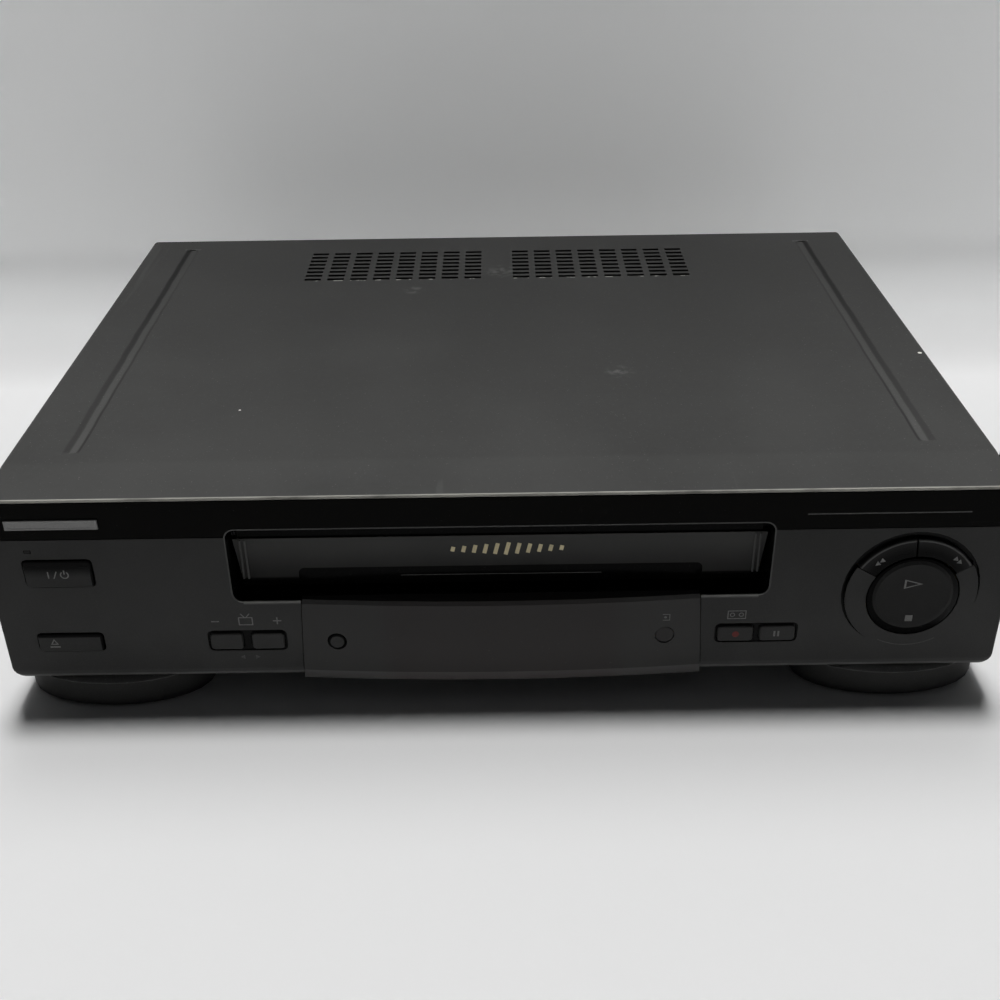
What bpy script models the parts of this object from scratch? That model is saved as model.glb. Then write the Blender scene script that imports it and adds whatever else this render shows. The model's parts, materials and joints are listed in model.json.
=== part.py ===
"""A video cassette recorder, modelled as the separate pieces that it comes apart into.

Everything is in metres, with +Z up and the front facing -Y.  The y values below are
measured from the bezel's front face towards the back; an empty at that face carries
every piece, so the whole recorder is centred on the origin with its feet at height zero.
Heights named "rise" are measured from the bezel's lower edge.
"""

import math

import bmesh
import bpy
from mathutils import Matrix, Vector

for leftover in list(bpy.data.objects):
    bpy.data.objects.remove(leftover)

MM = 0.001

# Fits shared by all pieces
seat_gap = 0.3 * MM
slide_gap = 0.5 * MM
running_gap = 0.6 * MM
overrun = 3 * MM
quarter_degrees = 90

# Enclosure
foot_height = 13.5 * MM
body_height = 94.8 * MM
bezel_width = 430 * MM
cover_side_step = 5 * MM
cover_depth = 306 * MM
cover_wall = 1.2 * MM
cover_bend = 3 * MM
cover_setback = 0.3 * MM
cover_hem_rise = 2.6 * MM
front_drop = 3.5 * MM
slope_depth = 25 * MM
rear_flange_height = 10 * MM
swage_width = 8 * MM
swage_depth = 0.7 * MM
swage_inset = 27.5 * MM
swage_front = 34 * MM
swage_back_margin = 15 * MM
vent_columns = 8
vent_rows = 8
vent_slot_width = 9.4 * MM
vent_slot_length = 3 * MM
vent_column_pitch = 12.93 * MM
vent_row_pitch = 6 * MM
vent_middle_gap = 18 * MM
vent_back_margin = 25 * MM

# Bezel
front_wall = 2.6 * MM
flange_wall = 2.2 * MM
flange_inset = 3.5 * MM
lower_edge_radius = 4.2 * MM
side_edge_radius = 1.2 * MM
corner_radius = 4.5 * MM
band_height = 17.1 * MM
band_thickness = 1.2 * MM
mouth_width = 226.8 * MM
mouth_height = 35.4 * MM
mouth_rise = 40.5 * MM
mouth_corner_radius = 4 * MM
tunnel_depth = 18 * MM
tunnel_wall = 2 * MM

# Display window
window_width = 169.4 * MM
window_flare = 2.4 * MM
window_drop = 1.7 * MM
window_bulge = 3.5 * MM
window_depth = 4 * MM
window_wall = 2.2 * MM
window_top_bevel = 1.4 * MM
window_skirt_height = 5.2 * MM
window_skirt_lean = 1.6 * MM
setup_button_x = -71 * MM
setup_button_rise = 19.5 * MM
setup_button_radius = 3.8 * MM
sensor_x = 70.4 * MM
sensor_rise = 20.5 * MM
sensor_radius = 4 * MM
sensor_depth = 5 * MM
sensor_crown_share = 0.7

# Cassette and its door
cassette_width = 188 * MM
cassette_depth = 104 * MM
cassette_height = 25 * MM
cassette_mouth_gap = 1.3 * MM
door_setback = 8.5 * MM
door_thickness = 2.6 * MM
door_face_step = 1 * MM
door_side_gap = 2.9 * MM
door_lower_gap = 1.8 * MM
door_upper_gap = 1 * MM
door_face_drop = 9.4 * MM
door_face_height = 18 * MM
door_end_face_height = 21 * MM
door_inlay_width = 172 * MM
door_hinge_drop = 6.9 * MM
door_pin_radius = 0.8 * MM
door_boss_width = 4 * MM
spring_wire_radius = 0.25 * MM
spring_coil_radius = 1.5 * MM
spring_pitch = 0.92 * MM
spring_turns = 2
spring_leg = 6 * MM

# Buttons
button_proud = 1 * MM
button_chamfer = 0.5 * MM
button_corner = 1.5 * MM
button_flange_lip = 1.2 * MM
button_flange_thickness = 1 * MM
button_stem = 4 * MM
button_back = 6 * MM
well_depth = 0.5 * MM
well_margin = 1.2 * MM
power_button_inset = 30.2 * MM
power_button_rise = 56 * MM
power_button_width = 28.5 * MM
power_button_height = 13 * MM
eject_button_inset = 29 * MM
eject_button_rise = 20.4 * MM
eject_button_width = 28 * MM
eject_button_height = 9 * MM
channel_pair_offset = 25.1 * MM
channel_pair_pitch = 17.9 * MM
channel_button_rise = 20 * MM
channel_button_width = 14 * MM
channel_button_height = 8.4 * MM
record_pair_offset = 25.3 * MM
record_pair_pitch = 18.1 * MM
record_button_rise = 20.3 * MM
record_button_width = 15.4 * MM
record_button_height = 7.8 * MM
lamp_inset = 19 * MM
lamp_rise = 66.8 * MM
lamp_width = 2.5 * MM
lamp_height = 1.1 * MM
lamp_depth = 5 * MM

# Play and stop disc, with the two arc buttons over it
disc_inset = 40 * MM
disc_rise = 38 * MM
disc_radius = 19.3 * MM
disc_face_radius = 15.8 * MM
disc_face_shift_x = -0.6 * MM
disc_face_shift_z = 1.7 * MM
disc_proud = 1.8 * MM
disc_dish = 0.6 * MM
disc_rim_share = 0.92
disc_middle_share = 0.5
disc_back = 3.2 * MM
disc_pivot_depth = 5.4 * MM
disc_pivot_radius = 1.6 * MM
disc_pivot_length = 26 * MM
arc_inner_radius = 20.4 * MM
arc_proud = 0.5 * MM
arc_split_gap = 0.5 * MM
arc_start_degrees = 35
arc_split_degrees = 94
arc_end_degrees = 148
arc_back = 5.5 * MM
groove_disc_shift = -1.5 * MM
groove_rise = 41.3 * MM
groove_radius = 29.2 * MM
groove_shift = 1.86 * MM
groove_width = 3 * MM
groove_depth = 1.8 * MM
groove_middle_degrees = 111
groove_tip_degrees = 4

# Feet
foot_inset = 43 * MM
front_foot_half_width = 41 * MM
front_foot_half_depth = 21 * MM
front_foot_setback = -3 * MM
rear_foot_radius = 16 * MM
rear_foot_margin = 38 * MM
foot_edge = 1.5 * MM

# Chassis tray and rear panel
tray_wall = 1.2 * MM
tray_flange_height = 26 * MM
tray_boss_radius = 3.5 * MM
tray_slot_width = 4 * MM
tray_slot_length = 40 * MM
tray_slot_pitch = 9 * MM
tray_slots = 5
rear_vent_width = 3 * MM
rear_vent_height = 24 * MM
rear_vent_pitch = 7 * MM
rear_vents = 9
rear_vent_inset = 40.5 * MM
rear_vent_rise = 62 * MM

# Cover screws
screw_head_radius = 4 * MM
screw_head_height = 1.8 * MM
screw_shank_radius = 1.7 * MM
screw_shank_length = 7 * MM
screw_cross_width = 0.9 * MM
screw_cross_length = 4.4 * MM
screw_cross_depth = 1 * MM
screw_crown_share = 0.7
side_screw_rise = 14 * MM
side_screw_front = 62 * MM
side_screw_back_margin = 34 * MM

# Sockets on the rear panel
jack_block_x = 62 * MM
jack_block_rise = 30 * MM
jack_block_width = 74 * MM
jack_block_height = 44 * MM
jack_block_depth = 16 * MM
jack_columns = 3
jack_rows = 2
jack_column_pitch = 22 * MM
jack_row_pitch = 20 * MM
jack_radius = 4.1 * MM
jack_collar_radius = 6.2 * MM
jack_collar_length = 1.8 * MM
jack_bore = 1.7 * MM
jack_length = 8 * MM
antenna_inset = 58.5 * MM
antenna_rise = 38 * MM
antenna_block_width = 34 * MM
antenna_block_height = 60 * MM
antenna_block_depth = 22 * MM
antenna_pitch = 24 * MM
antenna_lower_shift = -22 * MM
antenna_barrel_radius = 4.7 * MM
antenna_barrel_length = 8 * MM
antenna_nut_radius = 6.3 * MM
antenna_nut_length = 1.8 * MM
antenna_bore = 1.5 * MM
switch_shift = 24 * MM
switch_slot_width = 9 * MM
switch_slot_height = 4 * MM
switch_slot_depth = 3 * MM
switch_knob_width = 4 * MM
switch_travel = 3 * MM
inlet_inset = 40.5 * MM
inlet_rise = 24 * MM
inlet_width = 26 * MM
inlet_height = 18 * MM
inlet_depth = 22 * MM
inlet_flange_lip = 2 * MM
inlet_flange_thickness = 1.5 * MM
inlet_recess_width = 17 * MM
inlet_recess_height = 9 * MM
inlet_recess_depth = 14 * MM
inlet_recess_corner_share = 0.45
inlet_pin_radius = 1.2 * MM
inlet_pin_pitch = 8 * MM
inlet_pin_length = 11 * MM

# Boards and electrical pieces
board_thickness = 1.6 * MM
main_board_rise = 5.5 * MM
main_board_left = -100 * MM
main_board_deck_gap = 4 * MM
main_board_edge_gap = 4.3 * MM
main_board_front = 32 * MM
main_board_step_gap = 6 * MM
main_board_back_gap = 4 * MM
chip_length = 12 * MM
chip_width = 9 * MM
chip_height = 3 * MM
chip_place_shares = ((0.15, 0.07), (0.55, 0.07), (0.15, 0.2), (0.6, 0.28), (0.15, 0.36))
capacitor_radius = 4.2 * MM
capacitor_height = 13 * MM
capacitor_pitch = 15 * MM
capacitor_rows = 3
capacitor_columns = 4
front_board_setback = 10.5 * MM
front_board_side_gap = 6.3 * MM
front_board_rise = 5 * MM
front_board_ear_rise = 74 * MM
front_board_ear_inset = 3 * MM
tact_switch_size = 6 * MM
tact_switch_gap = 1.6 * MM
tube_width = 92 * MM
tube_height = 21 * MM
tube_depth = 5.4 * MM
tube_rise = 21 * MM
transformer_side_gap = 21 * MM
transformer_y = 218 * MM
transformer_width = 54 * MM
transformer_depth = 40 * MM
transformer_height = 46 * MM
transformer_core_height = 20 * MM
transformer_coil_inset = 7 * MM
tuner_side_gap = 27 * MM
tuner_y = 170 * MM
tuner_width = 46 * MM
tuner_depth = 62 * MM
tuner_height = 20 * MM

# Deck
deck_rise = 14.9 * MM
deck_thickness = 1.4 * MM
deck_side_margin = 4.55 * MM
deck_front = 34 * MM
deck_back = 248 * MM
deck_leg_radius = 4 * MM
deck_leg_inset = 9 * MM
load_slide = 22 * MM
load_drop = 22 * MM
reel_spacing = 97.6 * MM
reel_from_label_edge = 45 * MM
reel_table_radius = 19 * MM
reel_table_thickness = 3.2 * MM
reel_hub_radius = 8 * MM
reel_hub_height = 12 * MM
reel_shaft_radius = 1.5 * MM
reel_teeth = 18
idler_teeth = 14
reel_tooth_depth = 0.9 * MM
idler_arm_length = 18 * MM
idler_gear_radius = 15.4 * MM
idler_gear_thickness = 1.6 * MM
idler_arm_thickness = 1.2 * MM
idler_arm_half_width = 4 * MM
idler_shaft_radius = 1.4 * MM
drum_y = 197 * MM
drum_radius = 31 * MM
drum_pedestal_radius = 18 * MM
drum_pedestal_height = 5.5 * MM
lower_drum_height = 17.5 * MM
drum_gap = 0.4 * MM
upper_drum_height = 17 * MM
drum_rim_bevel = 1 * MM
drum_shaft_radius = 3 * MM
drum_hub_radius = 12 * MM
drum_hub_height = 3 * MM
capstan_x = 50 * MM
capstan_y = 176 * MM
capstan_radius = 1.5 * MM
capstan_height = 30 * MM
capstan_bearing_radius = 5 * MM
capstan_bearing_height = 2.6 * MM
flywheel_radius = 19 * MM
flywheel_thickness = 5 * MM
capstan_pulley_radius = 6 * MM
pulley_thickness = 3 * MM
reel_pulley_radius = 10 * MM
belt_thickness = 0.9 * MM
belt_width = 2.4 * MM
pinch_pivot_x = 80 * MM
pinch_pivot_y = 172 * MM
pinch_arm_length = 23.5 * MM
pinch_arm_half_width = 4.5 * MM
pinch_arm_thickness = 2.6 * MM
pinch_arm_lift = 3.2 * MM
pinch_roller_radius = 6 * MM
pinch_roller_height = 16 * MM
pinch_shaft_radius = 1.4 * MM
pinch_swing_degrees = 26
pinch_contact_gap = 0.3 * MM
arm_sleeve_share = 0.8
guide_start_x = 24 * MM
guide_start_y = 150 * MM
guide_end_x = 46 * MM
guide_end_y = 205 * MM
guide_sled_length = 15 * MM
guide_sled_width = 11 * MM
guide_sled_height = 3.2 * MM
guide_post_radius = 2.6 * MM
guide_post_height = 23 * MM
guide_flange_radius = 3.6 * MM
guide_flange_thickness = 1 * MM
guide_slot_width = 5 * MM
tension_pivot_x = -82 * MM
tension_pivot_y = 169 * MM
tension_arm_length = 22 * MM
tension_arm_half_width = 3 * MM
tension_arm_thickness = 1.8 * MM
tension_arm_lift = 3.2 * MM
tension_post_radius = 1.8 * MM
tension_post_height = 17 * MM
tension_rest_degrees = 4
audio_head_x = 66 * MM
audio_head_y = 210 * MM
audio_head_width = 13 * MM
audio_head_depth = 10 * MM
audio_head_height = 25 * MM
erase_head_x = -70 * MM
erase_head_y = 204 * MM
erase_head_width = 11 * MM
erase_head_depth = 8 * MM
erase_head_height = 22 * MM
head_base_height = 3 * MM
head_base_margin = 3 * MM
head_post_radius = 1.6 * MM
head_post_height_share = 0.7
cam_x = -58 * MM
cam_y = 232 * MM
cam_radius = 13 * MM
cam_thickness = 4 * MM
cam_teeth = 16
cam_tooth_depth = 1 * MM
cam_hub_radius = 4 * MM
cam_hub_height = 3 * MM
motor_radius = 10.5 * MM
motor_height = 10.5 * MM
motor_pinion_radius = 3 * MM
motor_pinion_height = 5 * MM

# Cassette loader
holder_side_gap = 0.75 * MM
holder_top_gap = 0.6 * MM
holder_wall = 1.2 * MM
holder_ledge = 19 * MM
holder_ledge_thickness = 1 * MM
holder_front = 38 * MM
holder_length = 100 * MM
holder_pin_radius = 1.5 * MM
holder_pin_length = 1.2 * MM
holder_pin_inset = 22 * MM
carriage_gap = 0.5 * MM
carriage_wall = 1.2 * MM
carriage_length = 84 * MM
carriage_bridge_length = 30 * MM
carriage_lift = 1.8 * MM
carriage_pin_length = 1.8 * MM
frame_wall = 1.2 * MM
frame_gap = 0.6 * MM
frame_front = 37.6 * MM
frame_back = 162 * MM
frame_top_clearance = 2 * MM
frame_bridge_length = 52 * MM

# Places worked out from the sizes above
bezel_x = bezel_width / 2
cover_x = bezel_x - cover_side_step
foot_x = bezel_x - foot_inset
bezel_bottom = foot_height
cover_top = bezel_bottom + body_height
cover_front_top = cover_top - front_drop
bezel_top = cover_front_top - cover_wall - seat_gap
cover_inner_x = cover_x - cover_wall
cover_inner_top = cover_top - cover_wall
cover_hem = bezel_bottom + cover_hem_rise
wing_inner_x = cover_x + seat_gap
mouth_x = mouth_width / 2
mouth_bottom = bezel_bottom + mouth_rise
mouth_top = mouth_bottom + mouth_height
tunnel_x = mouth_x + tunnel_wall
tunnel_bottom = mouth_bottom - tunnel_wall
window_x = window_width / 2
power_button_x = -bezel_x + power_button_inset
eject_button_x = -bezel_x + eject_button_inset
lamp_x = -bezel_x + lamp_inset
channel_pair_x = -window_x - channel_pair_offset
record_pair_x = window_x + record_pair_offset
disc_x = bezel_x - disc_inset
groove_x = disc_x + groove_disc_shift
window_bottom = bezel_bottom - window_drop
window_top = mouth_bottom - seat_gap
door_x = mouth_x - door_side_gap
door_bottom = mouth_bottom + door_lower_gap
door_top = mouth_top - door_upper_gap
door_face_top = mouth_top - door_face_drop
door_back = door_setback + door_thickness
door_hinge_y = door_back - (door_thickness - door_face_step) / 2
door_hinge_z = mouth_top - door_hinge_drop
tray_x = cover_inner_x - seat_gap
tray_front = slope_depth + seat_gap
rear_vent_x = -tray_x + rear_vent_inset
inlet_x = -tray_x + inlet_inset
antenna_x = tray_x - antenna_inset
side_screw_back = cover_depth - side_screw_back_margin
rear_foot_y = cover_depth - rear_foot_margin
rear_panel_y = cover_depth - cover_wall - seat_gap - tray_wall
tray_back = rear_panel_y - seat_gap
rear_face_y = rear_panel_y + tray_wall
tray_floor = bezel_bottom + tray_wall
deck_top = bezel_bottom + deck_rise
deck_bottom = deck_top - deck_thickness
main_board_z = bezel_bottom + main_board_rise
main_board_right = tray_x - tray_wall - main_board_edge_gap
main_board_middle = deck_back + main_board_step_gap
main_board_back = tray_back - main_board_back_gap
cassette_bottom = mouth_bottom + cassette_mouth_gap
holder_floor = cassette_bottom - seat_gap / 2 - holder_ledge_thickness
holder_inner_x = cassette_width / 2 + holder_side_gap
holder_x = holder_inner_x + holder_wall
holder_back = holder_front + holder_length
holder_inner_top = cassette_bottom + cassette_height + holder_top_gap
holder_top = holder_inner_top + holder_wall
carriage_inner_x = holder_x + carriage_gap
carriage_x = carriage_inner_x + carriage_wall
carriage_top = holder_top + carriage_lift + carriage_wall
frame_inner_x = carriage_x + frame_gap
frame_x = frame_inner_x + frame_wall
deck_x = frame_x + deck_side_margin
main_board_inner = deck_x + main_board_deck_gap
tuner_x = main_board_inner + tuner_width / 2 + tuner_side_gap
transformer_x = -deck_x - transformer_width / 2 - transformer_side_gap
frame_top = carriage_top + frame_top_clearance + frame_wall
reel_x = reel_spacing / 2
reel_y = holder_back + load_slide - cassette_depth + reel_from_label_edge
carriage_front = (holder_front + holder_back - carriage_length) / 2
carriage_back = carriage_front + carriage_length
holder_pin_z = holder_inner_top - holder_pin_radius
carriage_pin_z = holder_pin_z - load_drop / 2
motor_x = cam_x - cam_radius - seat_gap - motor_pinion_radius
machine_back = cover_depth + jack_length

# What every piece hangs on, standing at the middle of the bezel's front face
recorder = bpy.data.objects.new("recorder", None)
bpy.context.scene.collection.objects.link(recorder)
recorder.location.y = -(machine_back - window_bulge) / 2


# Building blocks

def finish(name, colour, roughness, metallic):
    """A Principled material."""
    material = bpy.data.materials.new(name)
    material.use_nodes = True
    shader = material.node_tree.nodes["Principled BSDF"]
    shader.inputs["Base Color"].default_value = (*colour, 1)
    shader.inputs["Roughness"].default_value = roughness
    shader.inputs["Metallic"].default_value = metallic
    return material


def point(axis, u, v, along):
    """A point given in the plane across an axis and along it."""
    if axis == "X":
        return Vector((along, u, v))
    if axis == "Y":
        return Vector((u, along, v))
    return Vector((u, v, along))


def arc(centre_u, centre_v, radius, start_degrees, end_degrees, steps):
    """Points on a circle from one angle to another, both ends included."""
    points = []
    for step in range(steps + 1):
        angle = math.radians(start_degrees + (end_degrees - start_degrees) * step / steps)
        points.append((centre_u + radius * math.cos(angle), centre_v + radius * math.sin(angle)))
    return points


def circle(centre_u, centre_v, radius, count):
    """Points all round a circle."""
    return arc(centre_u, centre_v, radius, 0, 360, count)[:-1]


def rectangle(left, right, low, high):
    """The four corners of a rectangle."""
    return [(left, low), (right, low), (right, high), (left, high)]


def rounded(centre_u, centre_v, width, height, radius, steps=3):
    """A rectangle with rounded corners."""
    half_u = width / 2 - radius
    half_v = height / 2 - radius
    points = []
    for side_u, side_v, start in ((1, 1, 0), (-1, 1, 90), (-1, -1, 180), (1, -1, 270)):
        corner_u = centre_u + side_u * half_u
        corner_v = centre_v + side_v * half_v
        points += arc(corner_u, corner_v, radius, start, start + quarter_degrees, steps)
    return points


def gear_outline(centre_u, centre_v, radius, tooth_depth, teeth):
    """A gear's outline, with flat crests and roots."""
    points = []
    for corner in range(teeth * 4):
        angle = 2 * math.pi * corner / (teeth * 4)
        reach = radius if corner % 4 < 2 else radius - tooth_depth
        points.append((centre_u + reach * math.cos(angle), centre_v + reach * math.sin(angle)))
    return points


def loft(*sections):
    """A closed body through loops of equally many points, capped at both ends."""
    shape = bmesh.new()
    rings = [[shape.verts.new(place) for place in section] for section in sections]
    for low, high in zip(rings, rings[1:]):
        for index in range(len(low)):
            following = (index + 1) % len(low)
            shape.faces.new((low[index], low[following], high[following], high[index]))
    shape.faces.new(rings[0])
    shape.faces.new(rings[-1])
    bmesh.ops.recalc_face_normals(shape, faces=shape.faces)
    if shape.calc_volume(signed=True) < 0:
        bmesh.ops.reverse_faces(shape, faces=shape.faces)
    mesh = bpy.data.meshes.new("solid")
    shape.to_mesh(mesh)
    shape.free()
    return mesh


def prism(axis, outline, start, end):
    """An outline drawn out along an axis."""
    return loft(*[[point(axis, u, v, along) for u, v in outline] for along in (start, end)])


def box(left, right, front, back, low, high):
    """A block between two corners."""
    return prism("Z", rectangle(left, right, front, back), low, high)


def turned(axis, centre_u, centre_v, profile, segments=24):
    """A turned body from (radius, place along the axis) pairs."""
    sections = []
    for radius, along in profile:
        sections.append([point(axis, u, v, along) for u, v in circle(centre_u, centre_v, radius, segments)])
    return loft(*sections)


def rod(axis, centre_u, centre_v, radius, start, end, segments=12):
    """A plain cylinder."""
    return turned(axis, centre_u, centre_v, [(radius, start), (radius, end)], segments)


def gather(meshes):
    """Several bodies that don't touch, as one mesh."""
    shape = bmesh.new()
    for mesh in meshes:
        shape.from_mesh(mesh)
        bpy.data.meshes.remove(mesh)
    mesh = bpy.data.meshes.new("solids")
    shape.to_mesh(mesh)
    shape.free()
    return mesh


def body(name, mesh):
    """A new object in the scene."""
    made = bpy.data.objects.new(name, mesh)
    bpy.context.scene.collection.objects.link(made)
    return made


def combine(target, operation, meshes):
    """Applies one Boolean operation to an object for each mesh in turn."""
    for mesh in meshes:
        tool = body("tool", mesh)
        modifier = target.modifiers.new("combine", "BOOLEAN")
        modifier.operation = operation
        modifier.solver = "EXACT"
        modifier.object = tool
        graph = bpy.context.evaluated_depsgraph_get()
        result = bpy.data.meshes.new_from_object(target.evaluated_get(graph))
        target.modifiers.clear()
        target.data = result
        bpy.data.objects.remove(tool)
    return target


def weld(target, *meshes):
    """Joins bodies onto an object."""
    return combine(target, "UNION", meshes)


def carve(target, *meshes):
    """Cuts bodies out of an object."""
    return combine(target, "DIFFERENCE", meshes)


def settle(made, look, pivot=(0, 0, 0), carrier=None, smooth_degrees=35):
    """Dresses a piece, moves its origin to its pivot and hangs it on what carries it."""
    pivot = Vector(pivot)
    made.data.name = made.name
    made.data.materials.clear()
    made.data.materials.append(look)
    made.data.transform(Matrix.Translation(-pivot))
    made.data.shade_smooth()
    made.data.set_sharp_from_angle(angle=math.radians(smooth_degrees))
    made.parent = carrier or recorder
    made.location = pivot - Vector(made.parent.get("pivot", (0, 0, 0)))
    made["pivot"] = tuple(pivot)
    return made


# Enclosure pieces

def cover_section(y, top):
    """The bent sheet's cross-section, outside then inside."""
    points = []
    for half, bend, order in ((cover_x, cover_bend, 1), (cover_inner_x, cover_bend - cover_wall, -1)):
        crown = top - (cover_x - half)
        side = [(-half, cover_hem)]
        side += arc(-half + bend, crown - bend, bend, 180, 90, 4)
        side += arc(half - bend, crown - bend, bend, 90, 0, 4)
        side += [(half, cover_hem)]
        points += side[::order]
    return [Vector((x, y, z)) for x, z in points]


def vent_cutters():
    """The slots of the two vent blocks in the cover's top."""
    slots = []
    back = cover_depth - vent_back_margin
    for side in (-1, 1):
        for column in range(vent_columns):
            near = vent_middle_gap / 2 + column * vent_column_pitch
            left, right = sorted((side * near, side * (near + vent_slot_width)))
            for row in range(vent_rows):
                slot_back = back - row * vent_row_pitch
                slot_front = slot_back - vent_slot_length
                slots.append(box(left, right, slot_front, slot_back,
                                 cover_inner_top - overrun, cover_top + overrun))
    return gather(slots)


def swage_cutter(side):
    """One long shallow groove pressed in the cover's top."""
    centre = side * (cover_x - swage_inset)
    back = cover_depth - swage_back_margin
    outline = arc(centre, back - swage_width / 2, swage_width / 2, 0, 180, 6)
    outline += arc(centre, swage_front + swage_width / 2, swage_width / 2, 180, 360, 6)
    lower = [point("Z", centre + (u - centre) / 2, v, cover_top - swage_depth) for u, v in outline]
    upper = [point("Z", u, v, cover_top) for u, v in outline]
    above = [point("Z", u, v, cover_top + overrun) for u, v in outline]
    return loft(lower, upper, above)


def top_cover(look):
    """The folded steel lid, open below, with its bent rear flange."""
    made = body("top_cover", loft(
        cover_section(cover_setback, cover_front_top),
        cover_section(slope_depth, cover_top),
        cover_section(cover_depth, cover_top),
    ))
    flange_front = cover_depth - cover_wall
    flange_low = cover_top - rear_flange_height
    weld(made, box(-cover_inner_x + seat_gap, cover_inner_x - seat_gap, flange_front, cover_depth,
                   flange_low, cover_inner_top + cover_wall / 2))
    carve(made, box(-bezel_x, bezel_x, -overrun, front_wall + seat_gap, 0, cover_front_top - cover_wall))
    carve(made, gather([swage_cutter(-1), swage_cutter(1)]))
    carve(made, vent_cutters())
    holes = [side_screw_hole(side, y) for side in (-1, 1) for y in (side_screw_front, side_screw_back)]
    carve(made, gather(holes + [rear_screw_hole()]))
    return settle(made, look)


def side_screw_hole(side, y):
    """Clearance for one side screw through cover and tray."""
    inner = side * (tray_x - tray_wall - overrun)
    outer = side * (cover_x + overrun)
    rise = bezel_bottom + side_screw_rise
    return rod("X", y, rise, screw_shank_radius + seat_gap, min(inner, outer), max(inner, outer))


def rear_screw_z():
    """Height of the rear screw, in the middle of the cover's rear flange."""
    return cover_top - rear_flange_height / 2


def rear_screw_hole():
    """Clearance for the rear screw through flange and panel."""
    return rod("Y", 0, rear_screw_z(), screw_shank_radius + seat_gap,
               rear_panel_y - overrun, cover_depth + overrun)


def screw(name, axis, centre_u, centre_v, surface, direction, look):
    """A domed cross-head screw whose head seats on a surface and points outwards."""
    seat = surface + direction * seat_gap
    profile = [
        (screw_shank_radius, seat - direction * screw_shank_length),
        (screw_shank_radius, seat),
        (screw_head_radius, seat),
        (screw_head_radius, seat + direction * screw_head_height / 2),
        (screw_head_radius * screw_crown_share, seat + direction * screw_head_height),
    ]
    made = body(name, turned(axis, centre_u, centre_v, profile, 10))
    top = seat + direction * (screw_head_height + overrun)
    floor = seat + direction * (screw_head_height - screw_cross_depth)
    half_long = screw_cross_length / 2
    half_wide = screw_cross_width / 2
    cross = []
    for turn in range(4):
        cosine = round(math.cos(math.pi / 2 * turn))
        sine = round(math.sin(math.pi / 2 * turn))
        for u, v in ((half_long, -half_wide), (half_long, half_wide), (half_wide, half_wide)):
            cross.append((centre_u + u * cosine - v * sine, centre_v + u * sine + v * cosine))
    carve(made, prism(axis, cross, min(top, floor), max(top, floor)))
    return settle(made, look, point(axis, centre_u, centre_v, seat))


def screws(look):
    """Two screws in each side of the cover and one in its rear flange."""
    rise = bezel_bottom + side_screw_rise
    for side, side_name in ((-1, "left"), (1, "right")):
        for y, place in ((side_screw_front, "front"), (side_screw_back, "back")):
            screw(f"cover_screw_{side_name}_{place}", "X", y, rise, side * cover_x, side, look)
    screw("cover_screw_rear", "Y", 0, rear_screw_z(), cover_depth, 1, look)


def chassis_tray(look):
    """The folded bottom tray with its vent slots and the bosses under the main board."""
    inner_x = tray_x - tray_wall
    flange_top = bezel_bottom + tray_flange_height
    outline = [
        (-tray_x, bezel_bottom), (tray_x, bezel_bottom), (tray_x, flange_top), (inner_x, flange_top),
        (inner_x, tray_floor), (-inner_x, tray_floor), (-inner_x, flange_top), (-tray_x, flange_top),
    ]
    made = body("chassis_tray", prism("Y", outline, tray_front, tray_back))
    boss_top = main_board_z - seat_gap
    inset = 2 * tray_boss_radius
    places = (
        (main_board_right - inset, main_board_front + inset),
        (main_board_inner + inset, main_board_front + inset),
        (main_board_right - inset, main_board_back - inset),
        (main_board_left + inset, main_board_back - inset),
        (main_board_inner + inset, main_board_middle + inset),
    )
    floor = bezel_bottom + tray_wall / 2
    weld(made, gather([rod("Z", x, y, tray_boss_radius, floor, boss_top, 10) for x, y in places]))
    slots = []
    for side in (-1, 1):
        for index in range(tray_slots):
            x = side * (deck_x + running_gap) + side * (index + 1) * tray_slot_pitch
            y = (tray_front + tray_back) / 2 - tray_slot_length
            slots.append(box(x - tray_slot_width / 2, x + tray_slot_width / 2, y - tray_slot_length / 2,
                             y + tray_slot_length / 2, 0, tray_floor + overrun / 2))
    carve(made, gather(slots))
    holes = [side_screw_hole(side, y) for side in (-1, 1) for y in (side_screw_front, side_screw_back)]
    carve(made, gather(holes))
    return settle(made, look)


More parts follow.
